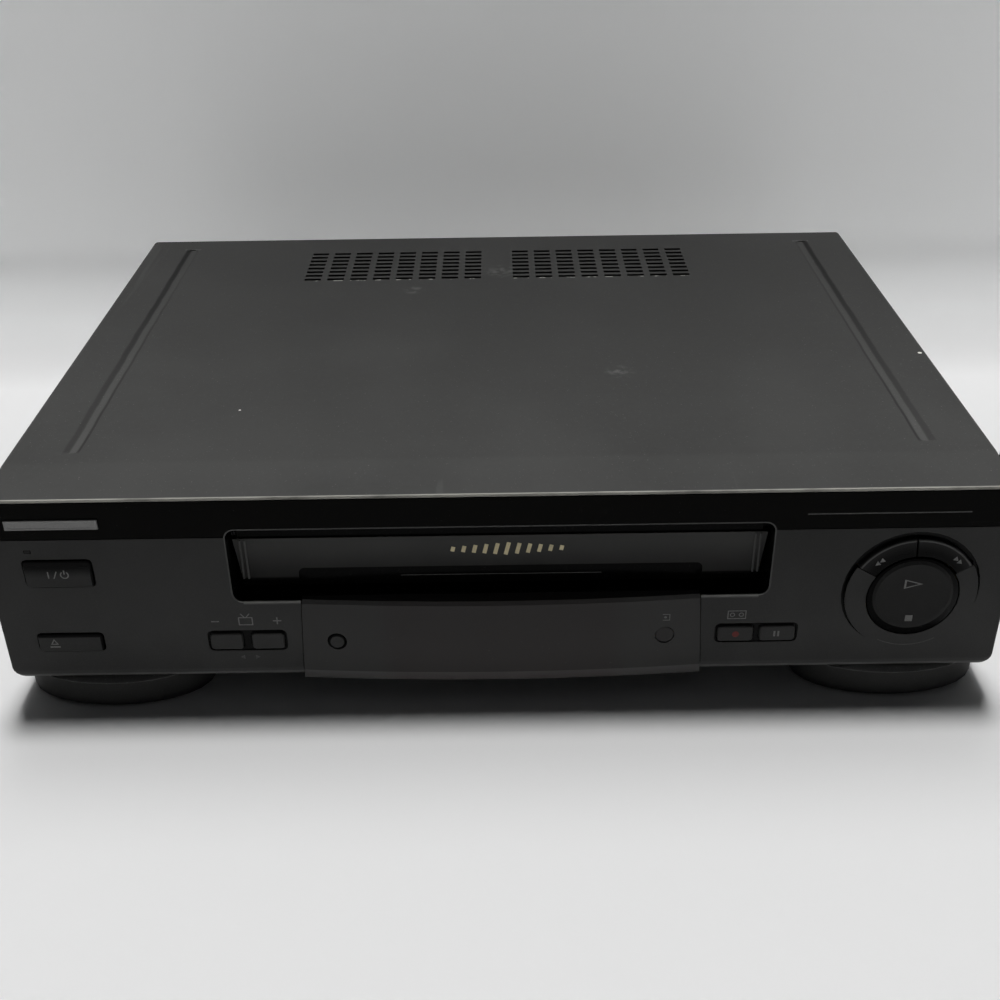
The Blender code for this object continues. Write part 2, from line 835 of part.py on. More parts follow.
def rear_panel(look):
    """The steel back with its vents and the openings for the sockets."""
    bend_x = tray_x - cover_bend
    bend_z = cover_inner_top - seat_gap - cover_bend
    outline = [(-tray_x, bezel_bottom), (tray_x, bezel_bottom)]
    outline += arc(bend_x, bend_z, cover_bend, 0, 90, 3) + arc(-bend_x, bend_z, cover_bend, 90, 180, 3)
    made = body("rear_panel", prism("Y", outline, rear_panel_y, rear_face_y))
    front = rear_panel_y - overrun
    back = rear_face_y + overrun
    openings = []
    for index in range(rear_vents):
        x = rear_vent_x + (index - (rear_vents - 1) / 2) * rear_vent_pitch
        z = bezel_bottom + rear_vent_rise
        openings.append(box(x - rear_vent_width / 2, x + rear_vent_width / 2, front, back,
                            z - rear_vent_height / 2, z + rear_vent_height / 2))
    jack_z = bezel_bottom + jack_block_rise
    openings.append(box(jack_block_x - jack_block_width / 2 - seat_gap,
                        jack_block_x + jack_block_width / 2 + seat_gap, front, back,
                        jack_z - jack_block_height / 2 - seat_gap,
                        jack_z + jack_block_height / 2 + seat_gap))
    antenna_z = bezel_bottom + antenna_rise
    openings.append(box(antenna_x - antenna_block_width / 2 - seat_gap,
                        antenna_x + antenna_block_width / 2 + seat_gap, front, back,
                        antenna_z - antenna_block_height / 2 - seat_gap,
                        antenna_z + antenna_block_height / 2 + seat_gap))
    inlet_z = bezel_bottom + inlet_rise
    openings.append(box(inlet_x - inlet_width / 2 - seat_gap,
                        inlet_x + inlet_width / 2 + seat_gap, front, back,
                        inlet_z - inlet_height / 2 - seat_gap, inlet_z + inlet_height / 2 + seat_gap))
    openings.append(rear_screw_hole())
    carve(made, gather(openings))
    return settle(made, look)


def feet(look):
    """Two broad oval feet in front and two small round ones behind."""
    top = foot_height - seat_gap
    for side, side_name in ((-1, "left"), (1, "right")):
        sections = []
        centre_y = front_foot_setback + front_foot_half_depth
        for inset, z in ((foot_edge, 0), (0, foot_edge), (0, top)):
            half_width = front_foot_half_width - inset
            half_depth = front_foot_half_depth - inset
            sections.append([Vector((side * foot_x + u * half_width, centre_y + v * half_depth, z))
                             for u, v in circle(0, 0, 1, 28)])
        settle(body(f"front_foot_{side_name}", loft(*sections)), look)
        edge = rear_foot_radius - foot_edge
        profile = [(edge, 0), (rear_foot_radius, foot_edge), (rear_foot_radius, top)]
        rear_foot = turned("Z", side * foot_x, rear_foot_y, profile, 20)
        settle(body(f"rear_foot_{side_name}", rear_foot), look)


# Bezel pieces

def bezel_section(y):
    """The bezel's outline at one depth: filleted lower edge, rounded lower corners, sloping wings."""
    low = bezel_bottom
    if y < lower_edge_radius:
        low += lower_edge_radius - math.sqrt(lower_edge_radius**2 - (lower_edge_radius - y)**2)
    half = bezel_x
    if y < side_edge_radius:
        half -= side_edge_radius - math.sqrt(side_edge_radius**2 - (side_edge_radius - y)**2)
    high = cover_front_top - seat_gap + front_drop * y / slope_depth
    outline = arc(-half + corner_radius, low + corner_radius, corner_radius, 180, 270, 4)
    outline += arc(half - corner_radius, low + corner_radius, corner_radius, 270, 360, 4)
    outline += [(half, high), (-half, high)]
    return [Vector((x, y, z)) for x, z in outline]


def groove_outlines():
    """The crescent groove's outer circle and the circle that it leaves standing."""
    angle = math.radians(groove_middle_degrees)
    centre_z = bezel_bottom + groove_rise
    inner_radius = groove_radius + groove_shift - groove_width
    inner_x = groove_x - groove_shift * math.cos(angle)
    inner_z = centre_z - groove_shift * math.sin(angle)
    return (groove_x, centre_z, groove_radius), (inner_x, inner_z, inner_radius)


def arc_outline(start_degrees, end_degrees, inner_radius, outer_growth, steps=9):
    """An outline between the disc's circle and the ring's inner circle, seen from the disc's centre."""
    ring_x, ring_z, ring_radius = groove_outlines()[1]
    centre_z = bezel_bottom + disc_rise
    inner = arc(disc_x, centre_z, inner_radius, start_degrees, end_degrees, steps)
    outer = []
    for step in range(steps + 1):
        angle = math.radians(end_degrees + (start_degrees - end_degrees) * step / steps)
        ray = Vector((math.cos(angle), math.sin(angle)))
        offset = Vector((disc_x - ring_x, centre_z - ring_z))
        radius = ring_radius + outer_growth
        along = -offset.dot(ray) + math.sqrt(offset.dot(ray)**2 - offset.dot(offset) + radius**2)
        outer.append((disc_x + ray.x * along, centre_z + ray.y * along))
    return inner + outer


def crescent_cutter():
    """The crescent groove round the arc buttons."""
    (outer_x, outer_z, outer_radius), (inner_x, inner_z, inner_radius) = groove_outlines()
    cos_reach = (inner_radius**2 - outer_radius**2 - groove_shift**2) / (2 * outer_radius * groove_shift)
    reach = math.degrees(math.acos(cos_reach)) - groove_tip_degrees
    start = groove_middle_degrees - reach
    outer = arc(outer_x, outer_z, outer_radius, start, groove_middle_degrees + reach, 28)
    inner = []
    for u, v in outer[::-1]:
        away = Vector((u - inner_x, v - inner_z)).normalized() * inner_radius
        inner.append((inner_x + away.x, inner_z + away.y))
    return prism("Y", outer + inner, -overrun, groove_depth)


def well_outline(pair_x, rise, pitch, width, height):
    """The shallow recess shared by a pair of buttons."""
    return rounded(pair_x, bezel_bottom + rise, pitch + width + 2 * well_margin, height + 2 * well_margin,
                   button_corner + well_margin / 2, 2)


def button_places():
    """Name, centre and size of each rectangular button."""
    return {
        "power_button": (power_button_x, power_button_rise, power_button_width, power_button_height),
        "eject_button": (eject_button_x, eject_button_rise, eject_button_width, eject_button_height),
        "channel_down_button": (channel_pair_x - channel_pair_pitch / 2, channel_button_rise,
                                channel_button_width, channel_button_height),
        "channel_up_button": (channel_pair_x + channel_pair_pitch / 2, channel_button_rise,
                              channel_button_width, channel_button_height),
        "record_button": (record_pair_x - record_pair_pitch / 2, record_button_rise,
                          record_button_width, record_button_height),
        "pause_button": (record_pair_x + record_pair_pitch / 2, record_button_rise,
                         record_button_width, record_button_height),
    }


def front_bezel(look):
    """The moulded front: a shallow shell with wings, the cassette tunnel and all its openings."""
    depths = [lower_edge_radius * (1 - math.cos(math.radians(step * 30))) for step in range(4)]
    made = body("front_bezel", loft(*[bezel_section(y) for y in depths + [slope_depth]]))
    back = slope_depth + overrun
    floor = bezel_bottom + flange_wall
    flange_x = cover_x - flange_inset
    carve(made, box(-wing_inner_x, wing_inner_x, -overrun, back, bezel_top, cover_top + overrun))
    carve(made, box(-wing_inner_x, wing_inner_x, front_wall, back, floor, bezel_top - flange_wall))
    channels = []
    for side in (-1, 1):
        edges = sorted((side * flange_x, side * wing_inner_x))
        channels.append(box(*edges, front_wall, back, bezel_top - 2 * flange_wall, bezel_top + flange_wall))
    carve(made, gather(channels))
    carve(made, box(-bezel_x - overrun, bezel_x + overrun, -overrun, band_thickness + seat_gap,
                    bezel_top - band_height - seat_gap, bezel_top + seat_gap))
    weld(made, box(-tunnel_x, tunnel_x, band_thickness + 2 * seat_gap, tunnel_depth,
                   tunnel_bottom, mouth_top + tunnel_wall))
    mouth_z = mouth_bottom + mouth_height / 2
    carve(made, prism("Y", rounded(0, mouth_z, mouth_width, mouth_height, mouth_corner_radius),
                      -overrun, tunnel_depth + overrun))
    outline = [(-window_half(0) - seat_gap, 0), (window_half(0) + seat_gap, 0),
               (window_x + seat_gap, window_top), (window_x + seat_gap, mouth_bottom + mouth_corner_radius),
               (-window_x - seat_gap, mouth_bottom + mouth_corner_radius), (-window_x - seat_gap, window_top)]
    carve(made, prism("Y", outline, -overrun, window_depth + seat_gap))
    carve(made, rod("X", door_hinge_y, door_hinge_z, door_pin_radius + seat_gap, -tunnel_x - overrun,
                    tunnel_x + overrun))
    holes = []
    wells = []
    for x, rise, width, height in button_places().values():
        outline = rounded(x, bezel_bottom + rise, width + 2 * slide_gap, height + 2 * slide_gap,
                          button_corner + slide_gap, 2)
        holes.append(prism("Y", outline, -overrun, front_wall + overrun))
    for outline in (
        well_outline(channel_pair_x, channel_button_rise, channel_pair_pitch,
                     channel_button_width, channel_button_height),
        well_outline(record_pair_x, record_button_rise, record_pair_pitch,
                     record_button_width, record_button_height),
    ):
        wells.append(prism("Y", outline, -overrun, well_depth))
    carve(made, gather(wells))
    lamp_z = bezel_bottom + lamp_rise
    holes.append(box(lamp_x - lamp_width / 2 - seat_gap, lamp_x + lamp_width / 2 + seat_gap,
                     -overrun, front_wall + overrun,
                     lamp_z - lamp_height / 2 - seat_gap, lamp_z + lamp_height / 2 + seat_gap))
    holes.append(rod("Y", disc_x, bezel_bottom + disc_rise, disc_radius + running_gap, -overrun,
                     front_wall + overrun, 32))
    carve(made, gather(holes))
    carve(made, crescent_cutter())
    outline = arc_outline(arc_start_degrees - 1, arc_end_degrees + 1, disc_radius, slide_gap, 16)
    carve(made, prism("Y", outline, -overrun, front_wall + overrun))
    return settle(made, look)


def band_section(half, y):
    """The trim band's outline at one depth."""
    low = bezel_top - band_height
    centre_z = mouth_top - mouth_corner_radius
    start = math.degrees(math.asin(max(low - centre_z, 0) / mouth_corner_radius))
    notch = arc(mouth_x - mouth_corner_radius, centre_z, mouth_corner_radius, start, 90, 3)
    if low < centre_z:
        notch.insert(0, (mouth_x, low))
    outline = [(-half, low)] + [(-x, z) for x, z in notch] + notch[::-1] + [(half, low)]
    outline += [(half, bezel_top), (-half, bezel_top)]
    return [point("Y", u, v, y) for u, v in outline]


def trim_band(look):
    """The gloss strip along the top of the bezel, notched over the mouth."""
    face = band_section(bezel_x - side_edge_radius, 0)
    return settle(body("trim_band", loft(face, band_section(bezel_x, band_thickness))), look)


def window_half(z):
    """The window's half width at one height: it flares towards its foot."""
    return window_x + window_flare * (window_top - z) / (window_top - window_bottom)


def window_section(share):
    """The display window's C-shaped profile at a share of its half width."""
    bow = -window_bulge * (1 - share**2)
    skirt_top = window_bottom + window_skirt_height
    lip = window_bottom + window_wall
    ceiling = window_top - window_wall
    profile = [
        (window_depth, window_bottom), (bow + window_skirt_lean, window_bottom), (bow, skirt_top),
        (bow, window_top - window_top_bevel), (bow + window_top_bevel, window_top),
        (window_depth, window_top), (window_depth, ceiling),
        (bow + window_wall + window_top_bevel, ceiling),
        (bow + window_wall, ceiling - window_top_bevel), (bow + window_wall, skirt_top),
        (bow + window_wall + window_skirt_lean, lip), (window_depth, lip),
    ]
    return [Vector((share * window_half(z), y, z)) for y, z in profile]


def window_face(x):
    """Depth of the window's outer face at x."""
    return -window_bulge * (1 - (x / window_x)**2)


def display_window(look):
    """The smoked panel, bowed forward, with holes for the set-up button and the sensor."""
    count = 14
    sections = [window_section(2 * step / count - 1) for step in range(count + 1)]
    made = body("display_window", loft(*sections))
    holes = []
    for x, rise, radius in ((setup_button_x, setup_button_rise, setup_button_radius + slide_gap),
                            (sensor_x, sensor_rise, sensor_radius + seat_gap)):
        holes.append(rod("Y", x, bezel_bottom + rise, radius,
                         -window_bulge - overrun, window_depth + overrun, 16))
    carve(made, gather(holes))
    return settle(made, look)


def sensor_lens(look):
    """The round remote sensor lens in the window."""
    face = window_face(sensor_x)
    profile = [(sensor_radius, face + sensor_depth), (sensor_radius, face + seat_gap),
               (sensor_radius * sensor_crown_share, face)]
    return settle(body("sensor_lens", turned("Y", sensor_x, bezel_bottom + sensor_rise, profile, 16)), look)


def power_lens(look):
    """The small lamp lens over the power button."""
    z = bezel_bottom + lamp_rise
    made = body("power_lens", box(lamp_x - lamp_width / 2, lamp_x + lamp_width / 2, 0, lamp_depth,
                                  z - lamp_height / 2, z + lamp_height / 2))
    return settle(made, look)


def cassette_door(look):
    """The flap that closes the mouth: a plate with a raised face, and the pins that it swings on."""
    step = door_setback + door_face_step
    made = body("cassette_door", box(-door_x, door_x, step, door_back, door_bottom, door_top))
    low_end = door_face_top - door_end_face_height
    low_middle = door_face_top - door_face_height
    half_inlay = door_inlay_width / 2
    outline = [
        (-door_x, door_face_top), (-door_x, low_end), (-half_inlay, low_end), (-half_inlay, low_middle),
        (half_inlay, low_middle), (half_inlay, low_end), (door_x, low_end), (door_x, door_face_top),
    ]
    weld(made, prism("Y", outline, door_setback, step + door_face_step / 2))
    pins = []
    for side in (-1, 1):
        inner = side * (door_x - door_boss_width)
        outer = side * (tunnel_x - seat_gap)
        pins.append(rod("X", door_hinge_y, door_hinge_z, door_pin_radius,
                        min(inner, outer), max(inner, outer), 10))
    weld(made, gather(pins))
    return settle(made, look, (0, door_hinge_y, door_hinge_z))


def door_spring(look, door):
    """The torsion spring wound round the door's left pin, its leg on the door's back."""
    start_x = -mouth_x + spring_wire_radius + seat_gap
    steps_per_turn = 10
    coil = []
    for step in range(spring_turns * steps_per_turn + 1):
        angle = 2 * math.pi * step / steps_per_turn
        coil.append(Vector((start_x + spring_pitch * step / steps_per_turn,
                            door_hinge_y + spring_coil_radius * math.cos(angle),
                            door_hinge_z + spring_coil_radius * math.sin(angle))))
    rest_y = door_back + seat_gap + spring_wire_radius
    leg = Vector((coil[-1].x + spring_leg, rest_y, door_hinge_z - spring_coil_radius))
    route = coil + [leg]
    curve = bpy.data.curves.new("door_spring", "CURVE")
    curve.dimensions = "3D"
    curve.bevel_depth = spring_wire_radius
    curve.bevel_resolution = 1
    curve.use_fill_caps = True
    wire = curve.splines.new("POLY")
    wire.points.add(len(route) - 1)
    for place, target in zip(route, wire.points):
        target.co = (*place, 1)
    curve.materials.append(look)
    made = bpy.data.objects.new("door_spring", curve)
    bpy.context.scene.collection.objects.link(made)
    made.parent = door
    made.location = -Vector(door["pivot"])
    return made


# Controls

def push_button(name, x, rise, width, height, look):
    """A cap with a chamfered face, a retaining flange behind the bezel and a stem."""
    z = bezel_bottom + rise
    flange_front = front_wall + seat_gap
    flange_back = flange_front + button_flange_thickness

    def section(grow, y):
        outline = rounded(x, z, width + 2 * grow, height + 2 * grow, max(button_corner + grow, seat_gap), 2)
        return [point("Y", u, v, y) for u, v in outline]

    stem_width_share = button_stem / width
    stem_height_share = button_stem / height
    stem = [(x + (p.x - x) * stem_width_share, z + (p.z - z) * stem_height_share) for p in section(0, 0)]
    made = body(name, loft(
        section(-button_chamfer, -button_proud),
        section(0, button_chamfer - button_proud),
        section(0, flange_front),
        section(button_flange_lip, flange_front),
        section(button_flange_lip, flange_back),
        [point("Y", u, v, flange_back) for u, v in stem],
        [point("Y", u, v, button_back) for u, v in stem],
    ))
    return settle(made, look, (x, 0, z))


def setup_button(look):
    """The small round button in the window."""
    face = window_face(setup_button_x) - button_proud / 2
    inside = window_face(setup_button_x) + window_wall + running_gap
    radius = setup_button_radius
    profile = [
        (radius - button_chamfer, face), (radius, face + button_chamfer), (radius, inside),
        (radius + button_flange_lip, inside),
        (radius + button_flange_lip, inside + button_flange_thickness),
        (button_stem / 2, inside + button_flange_thickness), (button_stem / 2, button_back),
    ]
    z = bezel_bottom + setup_button_rise
    made = body("setup_button", turned("Y", setup_button_x, z, profile, 14))
    return settle(made, look, (setup_button_x, 0, z))


def play_stop_disc(look):
    """The rocking disc: an off-centre dished face, a turned side and the axle behind."""
    z = bezel_bottom + disc_rise
    face_x = disc_x + disc_face_shift_x
    face_z = z + disc_face_shift_z
    profile = [
        (disc_x, z, disc_radius, disc_back), (disc_x, z, disc_radius, 0),
        (face_x, face_z, disc_face_radius, -disc_proud),
        (face_x, face_z, disc_face_radius * disc_rim_share, -disc_proud + disc_dish / 3),
        (face_x, face_z, disc_face_radius * disc_middle_share, -disc_proud + disc_dish),
    ]
    sections = []
    for centre_x, centre_z, radius, y in profile:
        sections.append([point("Y", u, v, y) for u, v in circle(centre_x, centre_z, radius, 30)])
    made = body("play_stop_disc", loft(*sections))
    weld(made, rod("Y", disc_x, z, 2 * disc_pivot_radius, disc_back / 2, disc_pivot_depth))
    weld(made, rod("X", disc_pivot_depth, z, disc_pivot_radius, disc_x - disc_pivot_length / 2,
                   disc_x + disc_pivot_length / 2))
    return settle(made, look, (disc_x, disc_pivot_depth, z))


def arc_button(name, start_degrees, end_degrees, look):
    """One glossy arc over the disc, rounded along its outer edge."""
    flange_front = front_wall + seat_gap
    sections = []
    for growth, y in ((-2 * button_chamfer, -arc_proud), (-slide_gap, button_chamfer - arc_proud),
                      (-slide_gap, flange_front), (button_flange_lip, flange_front),
                      (button_flange_lip, flange_front + button_flange_thickness), (-slide_gap, arc_back)):
        outline = arc_outline(start_degrees, end_degrees, arc_inner_radius, growth)
        sections.append([point("Y", u, v, y) for u, v in outline])
    made = body(name, loft(*sections))
    middle = math.radians((start_degrees + end_degrees) / 2)
    reach = (arc_inner_radius + groove_radius) / 2
    pivot = (disc_x + reach * math.cos(middle), 0, bezel_bottom + disc_rise + reach * math.sin(middle))
    return settle(made, look, pivot)


def controls(looks):
    """All the pieces that are pressed or rocked on the front."""
    for name, (x, rise, width, height) in button_places().items():
        push_button(name, x, rise, width, height, looks["button_plastic"])
    setup_button(looks["button_plastic"])
    play_stop_disc(looks["button_plastic"])
    half_gap = math.degrees(arc_split_gap / (2 * arc_inner_radius))
    arc_button("fast_forward_button", arc_start_degrees, arc_split_degrees - half_gap, looks["gloss_black"])
    arc_button("rewind_button", arc_split_degrees + half_gap, arc_end_degrees, looks["gloss_black"])


# Sockets

def audio_video_jacks(look):
    """A block of phono sockets that stands through the rear panel."""
    z = bezel_bottom + jack_block_rise
    face = rear_face_y
    made = body("audio_video_jacks", box(
        jack_block_x - jack_block_width / 2, jack_block_x + jack_block_width / 2,
        face - jack_block_depth, face, z - jack_block_height / 2, z + jack_block_height / 2,
    ))
    barrels = []
    bores = []
    for column in range(jack_columns):
        for row in range(jack_rows):
            x = jack_block_x + (column - (jack_columns - 1) / 2) * jack_column_pitch
            height = z + (row - (jack_rows - 1) / 2) * jack_row_pitch
            tip = cover_depth + jack_length
            collar = face + jack_collar_length
            barrels.append(turned("Y", x, height, [(jack_collar_radius, face - jack_collar_length),
                                                   (jack_collar_radius, collar), (jack_radius, collar),
                                                   (jack_radius, tip)], 10))
            bores.append(rod("Y", x, height, jack_bore, face, tip + overrun, 6))
    weld(made, gather(barrels))
    carve(made, gather(bores))
    return settle(made, look)


def antenna_terminals(look):
    """The modulator block with its two threaded sockets and the slot for the channel switch."""
    z = bezel_bottom + antenna_rise
    face = rear_face_y
    made = body("antenna_terminals", box(
        antenna_x - antenna_block_width / 2, antenna_x + antenna_block_width / 2,
        face - antenna_block_depth, face, z - antenna_block_height / 2, z + antenna_block_height / 2,
    ))
    barrels = []
    bores = []
    for index in range(2):
        height = z + antenna_lower_shift + index * antenna_pitch
        tip = face + antenna_barrel_length
        nut = face + antenna_nut_length
        barrels.append(turned("Y", antenna_x, height, [
            (antenna_nut_radius, face - antenna_nut_length), (antenna_nut_radius, nut),
            (antenna_barrel_radius, nut), (antenna_barrel_radius, tip),
        ], 12))
        bores.append(rod("Y", antenna_x, height, antenna_bore, face, tip + overrun, 6))
    weld(made, gather(barrels))
    height = z + switch_shift
    bores.append(box(antenna_x - switch_slot_width / 2, antenna_x + switch_slot_width / 2,
                     face - switch_slot_depth, face + overrun,
                     height - switch_slot_height / 2, height + switch_slot_height / 2))
    carve(made, gather(bores))
    return settle(made, look)


def channel_switch(look):
    """The slide knob in the modulator's slot, at the left end of its travel."""
    z = bezel_bottom + antenna_rise + switch_shift
    x = antenna_x - switch_travel / 2
    half_height = switch_slot_height / 2 - seat_gap
    made = body("channel_switch", box(x - switch_knob_width / 2, x + switch_knob_width / 2,
                                      rear_face_y - switch_slot_depth + seat_gap, rear_face_y + seat_gap,
                                      z - half_height, z + half_height))
    ridge = switch_knob_width / 8
    weld(made, box(x - ridge, x + ridge, rear_face_y, rear_face_y + 3 * seat_gap,
                   z - half_height, z + half_height))
    return settle(made, look, (x, rear_face_y, z))


def mains_inlet(look):
    """The two-pin mains socket, flanged on the rear panel."""
    z = bezel_bottom + inlet_rise
    flange_front = rear_face_y + seat_gap
    flange_back = flange_front + inlet_flange_thickness
    half_width = inlet_width / 2
    half_height = inlet_height / 2
    made = body("mains_inlet", box(inlet_x - half_width, inlet_x + half_width,
                                   flange_back - inlet_depth, flange_back, z - half_height, z + half_height))
    flange_x = half_width + inlet_flange_lip
    flange_z = half_height + inlet_flange_lip
    weld(made, box(inlet_x - flange_x, inlet_x + flange_x, flange_front, flange_back,
                   z - flange_z, z + flange_z))
    corner = inlet_recess_height * inlet_recess_corner_share
    recess = rounded(inlet_x, z, inlet_recess_width, inlet_recess_height, corner)
    floor = flange_back - inlet_recess_depth
    carve(made, prism("Y", recess, floor, flange_back + overrun))
    pins = [rod("Y", inlet_x + side * inlet_pin_pitch / 2, z, inlet_pin_radius, floor - inlet_pin_radius,
                floor + inlet_pin_length, 8) for side in (-1, 1)]
    weld(made, gather(pins))
    return settle(made, look)


# Boards and electrical pieces

def main_board(look):
    """The L-shaped board beside and behind the deck, with its larger components."""
    z = main_board_z
    top = z + board_thickness
    outline = [
        (main_board_inner, main_board_front), (main_board_right, main_board_front),
        (main_board_right, main_board_back), (main_board_left, main_board_back),
        (main_board_left, main_board_middle), (main_board_inner, main_board_middle),
    ]
    made = body("main_board", prism("Z", outline, z, top))
    root = z + board_thickness / 2
    parts = []
    for across_share, along_share in chip_place_shares:
        x = main_board_inner + across_share * (main_board_right - main_board_inner)
        y = main_board_front + along_share * (main_board_middle - main_board_front)
        parts.append(box(x, x + chip_length, y, y + chip_width, root, top + chip_height))
    for row in range(capacitor_rows):
        x = main_board_inner + capacitor_pitch / 2
        y = tuner_y + row * capacitor_pitch
        parts.append(rod("Z", x, y, capacitor_radius, root, top + capacitor_height, 10))
    for column in range(capacitor_columns):
        x = main_board_left + (column + 1) * capacitor_pitch
        y = (main_board_middle + main_board_back) / 2
        parts.append(rod("Z", x, y, capacitor_radius, root, top + capacitor_height, 10))
    weld(made, gather(parts))
    return settle(made, look)


def switch_places():
    """Centre of the tact switch behind each pressed piece, and the depth of its plunger."""
    places = []
    for x, rise, _, _ in button_places().values():
        places.append((x, bezel_bottom + rise, button_back + tact_switch_gap))
    places.append((setup_button_x, bezel_bottom + setup_button_rise, button_back + tact_switch_gap))
    disc_z = bezel_bottom + disc_rise
    for side in (-1, 1):
        places.append((disc_x, disc_z + side * disc_radius / 2, disc_pivot_depth))
    reach = arc_inner_radius + tact_switch_size / 2
    for start, end in ((arc_start_degrees, arc_split_degrees), (arc_split_degrees, arc_end_degrees)):
        middle = math.radians((start + end) / 2)
        places.append((disc_x + reach * math.cos(middle), disc_z + reach * math.sin(middle),
                       arc_back + tact_switch_gap))
    return places


def front_board(look):
    """The control board behind the bezel, with a tact switch behind each button."""
    half = wing_inner_x - front_board_side_gap
    low = bezel_bottom + front_board_rise
    middle = tunnel_bottom - seat_gap
    high = bezel_bottom + front_board_ear_rise
    ear = tunnel_x + front_board_ear_inset
    outline = [(-half, low), (half, low), (half, high), (ear, high), (ear, middle),
               (-ear, middle), (-ear, high), (-half, high)]
    front = front_board_setback
    made = body("front_board", prism("Y", outline, front, front + board_thickness))
    half_switch = tact_switch_size / 2
    switches = []
    for x, z, plunger in switch_places():
        switches.append(box(x - half_switch, x + half_switch, plunger, front + board_thickness / 2,
                            z - half_switch, z + half_switch))
    weld(made, gather(switches))
    return settle(made, look)


def display_tube(look):
    """The flat glass display tube behind the window."""
    back = front_board_setback - seat_gap
    z = bezel_bottom + tube_rise
    bevel = tube_depth / 6
    sections = []
    for inset, y in ((bevel, back - tube_depth), (0, back - tube_depth + bevel), (0, back)):
        outline = rounded(0, z, tube_width - 2 * inset, tube_height - 2 * inset, 2 * bevel, 2)
        sections.append([point("Y", u, v, y) for u, v in outline])
    return settle(body("display_tube", loft(*sections)), look)


def power_transformer(look):
    """The mains transformer: a laminated core round its coil."""
    low = tray_floor + seat_gap
    high = low + transformer_height
    left = transformer_x - transformer_width / 2
    right = transformer_x + transformer_width / 2
    front = transformer_y - transformer_depth / 2
    back = transformer_y + transformer_depth / 2
    core_low = low + (transformer_height - transformer_core_height) / 2
    inset = transformer_coil_inset
    core_high = core_low + transformer_core_height
    made = body("power_transformer", box(left, right, front, back, core_low, core_high))
    weld(made, prism("Z", rounded(transformer_x, transformer_y, transformer_width - 2 * inset,
                                  transformer_depth - inset, inset), low, high))
    return settle(made, look)


def tuner_can(look):
    """The tuner's tinned steel can, stood on the main board."""
    low = main_board_z + board_thickness + seat_gap
    half_width = tuner_width / 2
    half_depth = tuner_depth / 2
    made = body("tuner_can", box(tuner_x - half_width, tuner_x + half_width, tuner_y - half_depth,
                                 tuner_y + half_depth, low, low + tuner_height))
    rim = tuner_height / 10
    lid = low + tuner_height
    carve(made, prism("Z", rounded(tuner_x, tuner_y, tuner_width - 2 * rim, tuner_depth - 2 * rim, rim, 1),
                      lid - rim / 2, lid + overrun))
    return settle(made, look)


# Deck pieces

def guide_direction():
    """Unit vector of the right guide's travel, and its length."""
    travel = Vector((guide_end_x - guide_start_x, guide_end_y - guide_start_y))
    return travel.normalized(), travel.length


def along_track(side, along, across, z):
    """A point given along and across one guide track."""
    direction, _ = guide_direction()
    x = guide_start_x + direction.x * along - direction.y * across
    y = guide_start_y + direction.y * along + direction.x * across
    return Vector((side * x, y, z))


def deck_plate(look):
    """The pressed deck plate on its legs, with the guide tracks, the capstan's bearing and its bores."""
    made = body("deck_plate", box(-deck_x, deck_x, deck_front, deck_back, deck_bottom, deck_top))
    root = deck_top - deck_thickness / 2
    legs = []
    for side in (-1, 1):
        for y in (deck_front + deck_leg_inset, deck_back - deck_leg_inset):
            legs.append(rod("Z", side * (deck_x - deck_leg_inset), y, deck_leg_radius,
                            tray_floor + seat_gap, root, 10))
    weld(made, gather(legs))
    weld(made, rod("Z", capstan_x, capstan_y, capstan_bearing_radius,
                   root, deck_top + capstan_bearing_height, 16))
    _, travel = guide_direction()
    low = deck_bottom - overrun
    high = deck_top + overrun
    half = guide_slot_width / 2
    cutters = []
    for side in (-1, 1):
        corners = rectangle(-half, travel + half, -half, half)
        cutters.append(loft([along_track(side, a, c, low) for a, c in corners],
                            [along_track(side, a, c, high) for a, c in corners]))
        cutters.append(rod("Z", side * reel_x, reel_y, reel_shaft_radius + seat_gap, low, high, 10))
    top = deck_top + 2 * capstan_bearing_height
    cutters.append(rod("Z", capstan_x, capstan_y, capstan_radius + seat_gap, low, top, 12))
    cutters.append(rod("Z", 0, reel_y, idler_shaft_radius + seat_gap, low, high, 10))
    cutters.append(rod("Z", motor_x, cam_y, motor_pinion_radius + seat_gap, low, high, 12))
    cutters.append(rod("Z", cam_x, cam_y, idler_shaft_radius + seat_gap, low, high, 10))
    cutters.append(rod("Z", pinch_pivot_x, pinch_pivot_y, pinch_shaft_radius + seat_gap, low, high, 10))
    cutters.append(rod("Z", tension_pivot_x, tension_pivot_y, pinch_shaft_radius + seat_gap, low, high, 10))
    carve(made, gather(cutters))
    return settle(made, look)


def drums(look):
    """The fixed lower drum on its pedestal and the rotating upper drum."""
    low = deck_top + seat_gap
    waist = low + drum_pedestal_height
    split = waist + lower_drum_height
    made = body("lower_drum", turned("Z", 0, drum_y, [
        (drum_pedestal_radius, low), (drum_pedestal_radius, waist),
        (drum_radius, waist), (drum_radius, split),
    ], 28))
    carve(made, rod("Z", 0, drum_y, drum_shaft_radius + seat_gap,
                    split - lower_drum_height, split + overrun, 12))
    settle(made, look)
    rotor_low = split + drum_gap
    rotor_high = rotor_low + upper_drum_height
    made = body("upper_drum", turned("Z", 0, drum_y, [
        (drum_shaft_radius, split - lower_drum_height + seat_gap), (drum_shaft_radius, rotor_low),
        (drum_radius, rotor_low), (drum_radius, rotor_high - drum_rim_bevel),
        (drum_radius - drum_rim_bevel, rotor_high), (drum_hub_radius, rotor_high),
        (drum_hub_radius, rotor_high + drum_hub_height),
    ], 28))
    return settle(made, look, (0, drum_y, rotor_low))


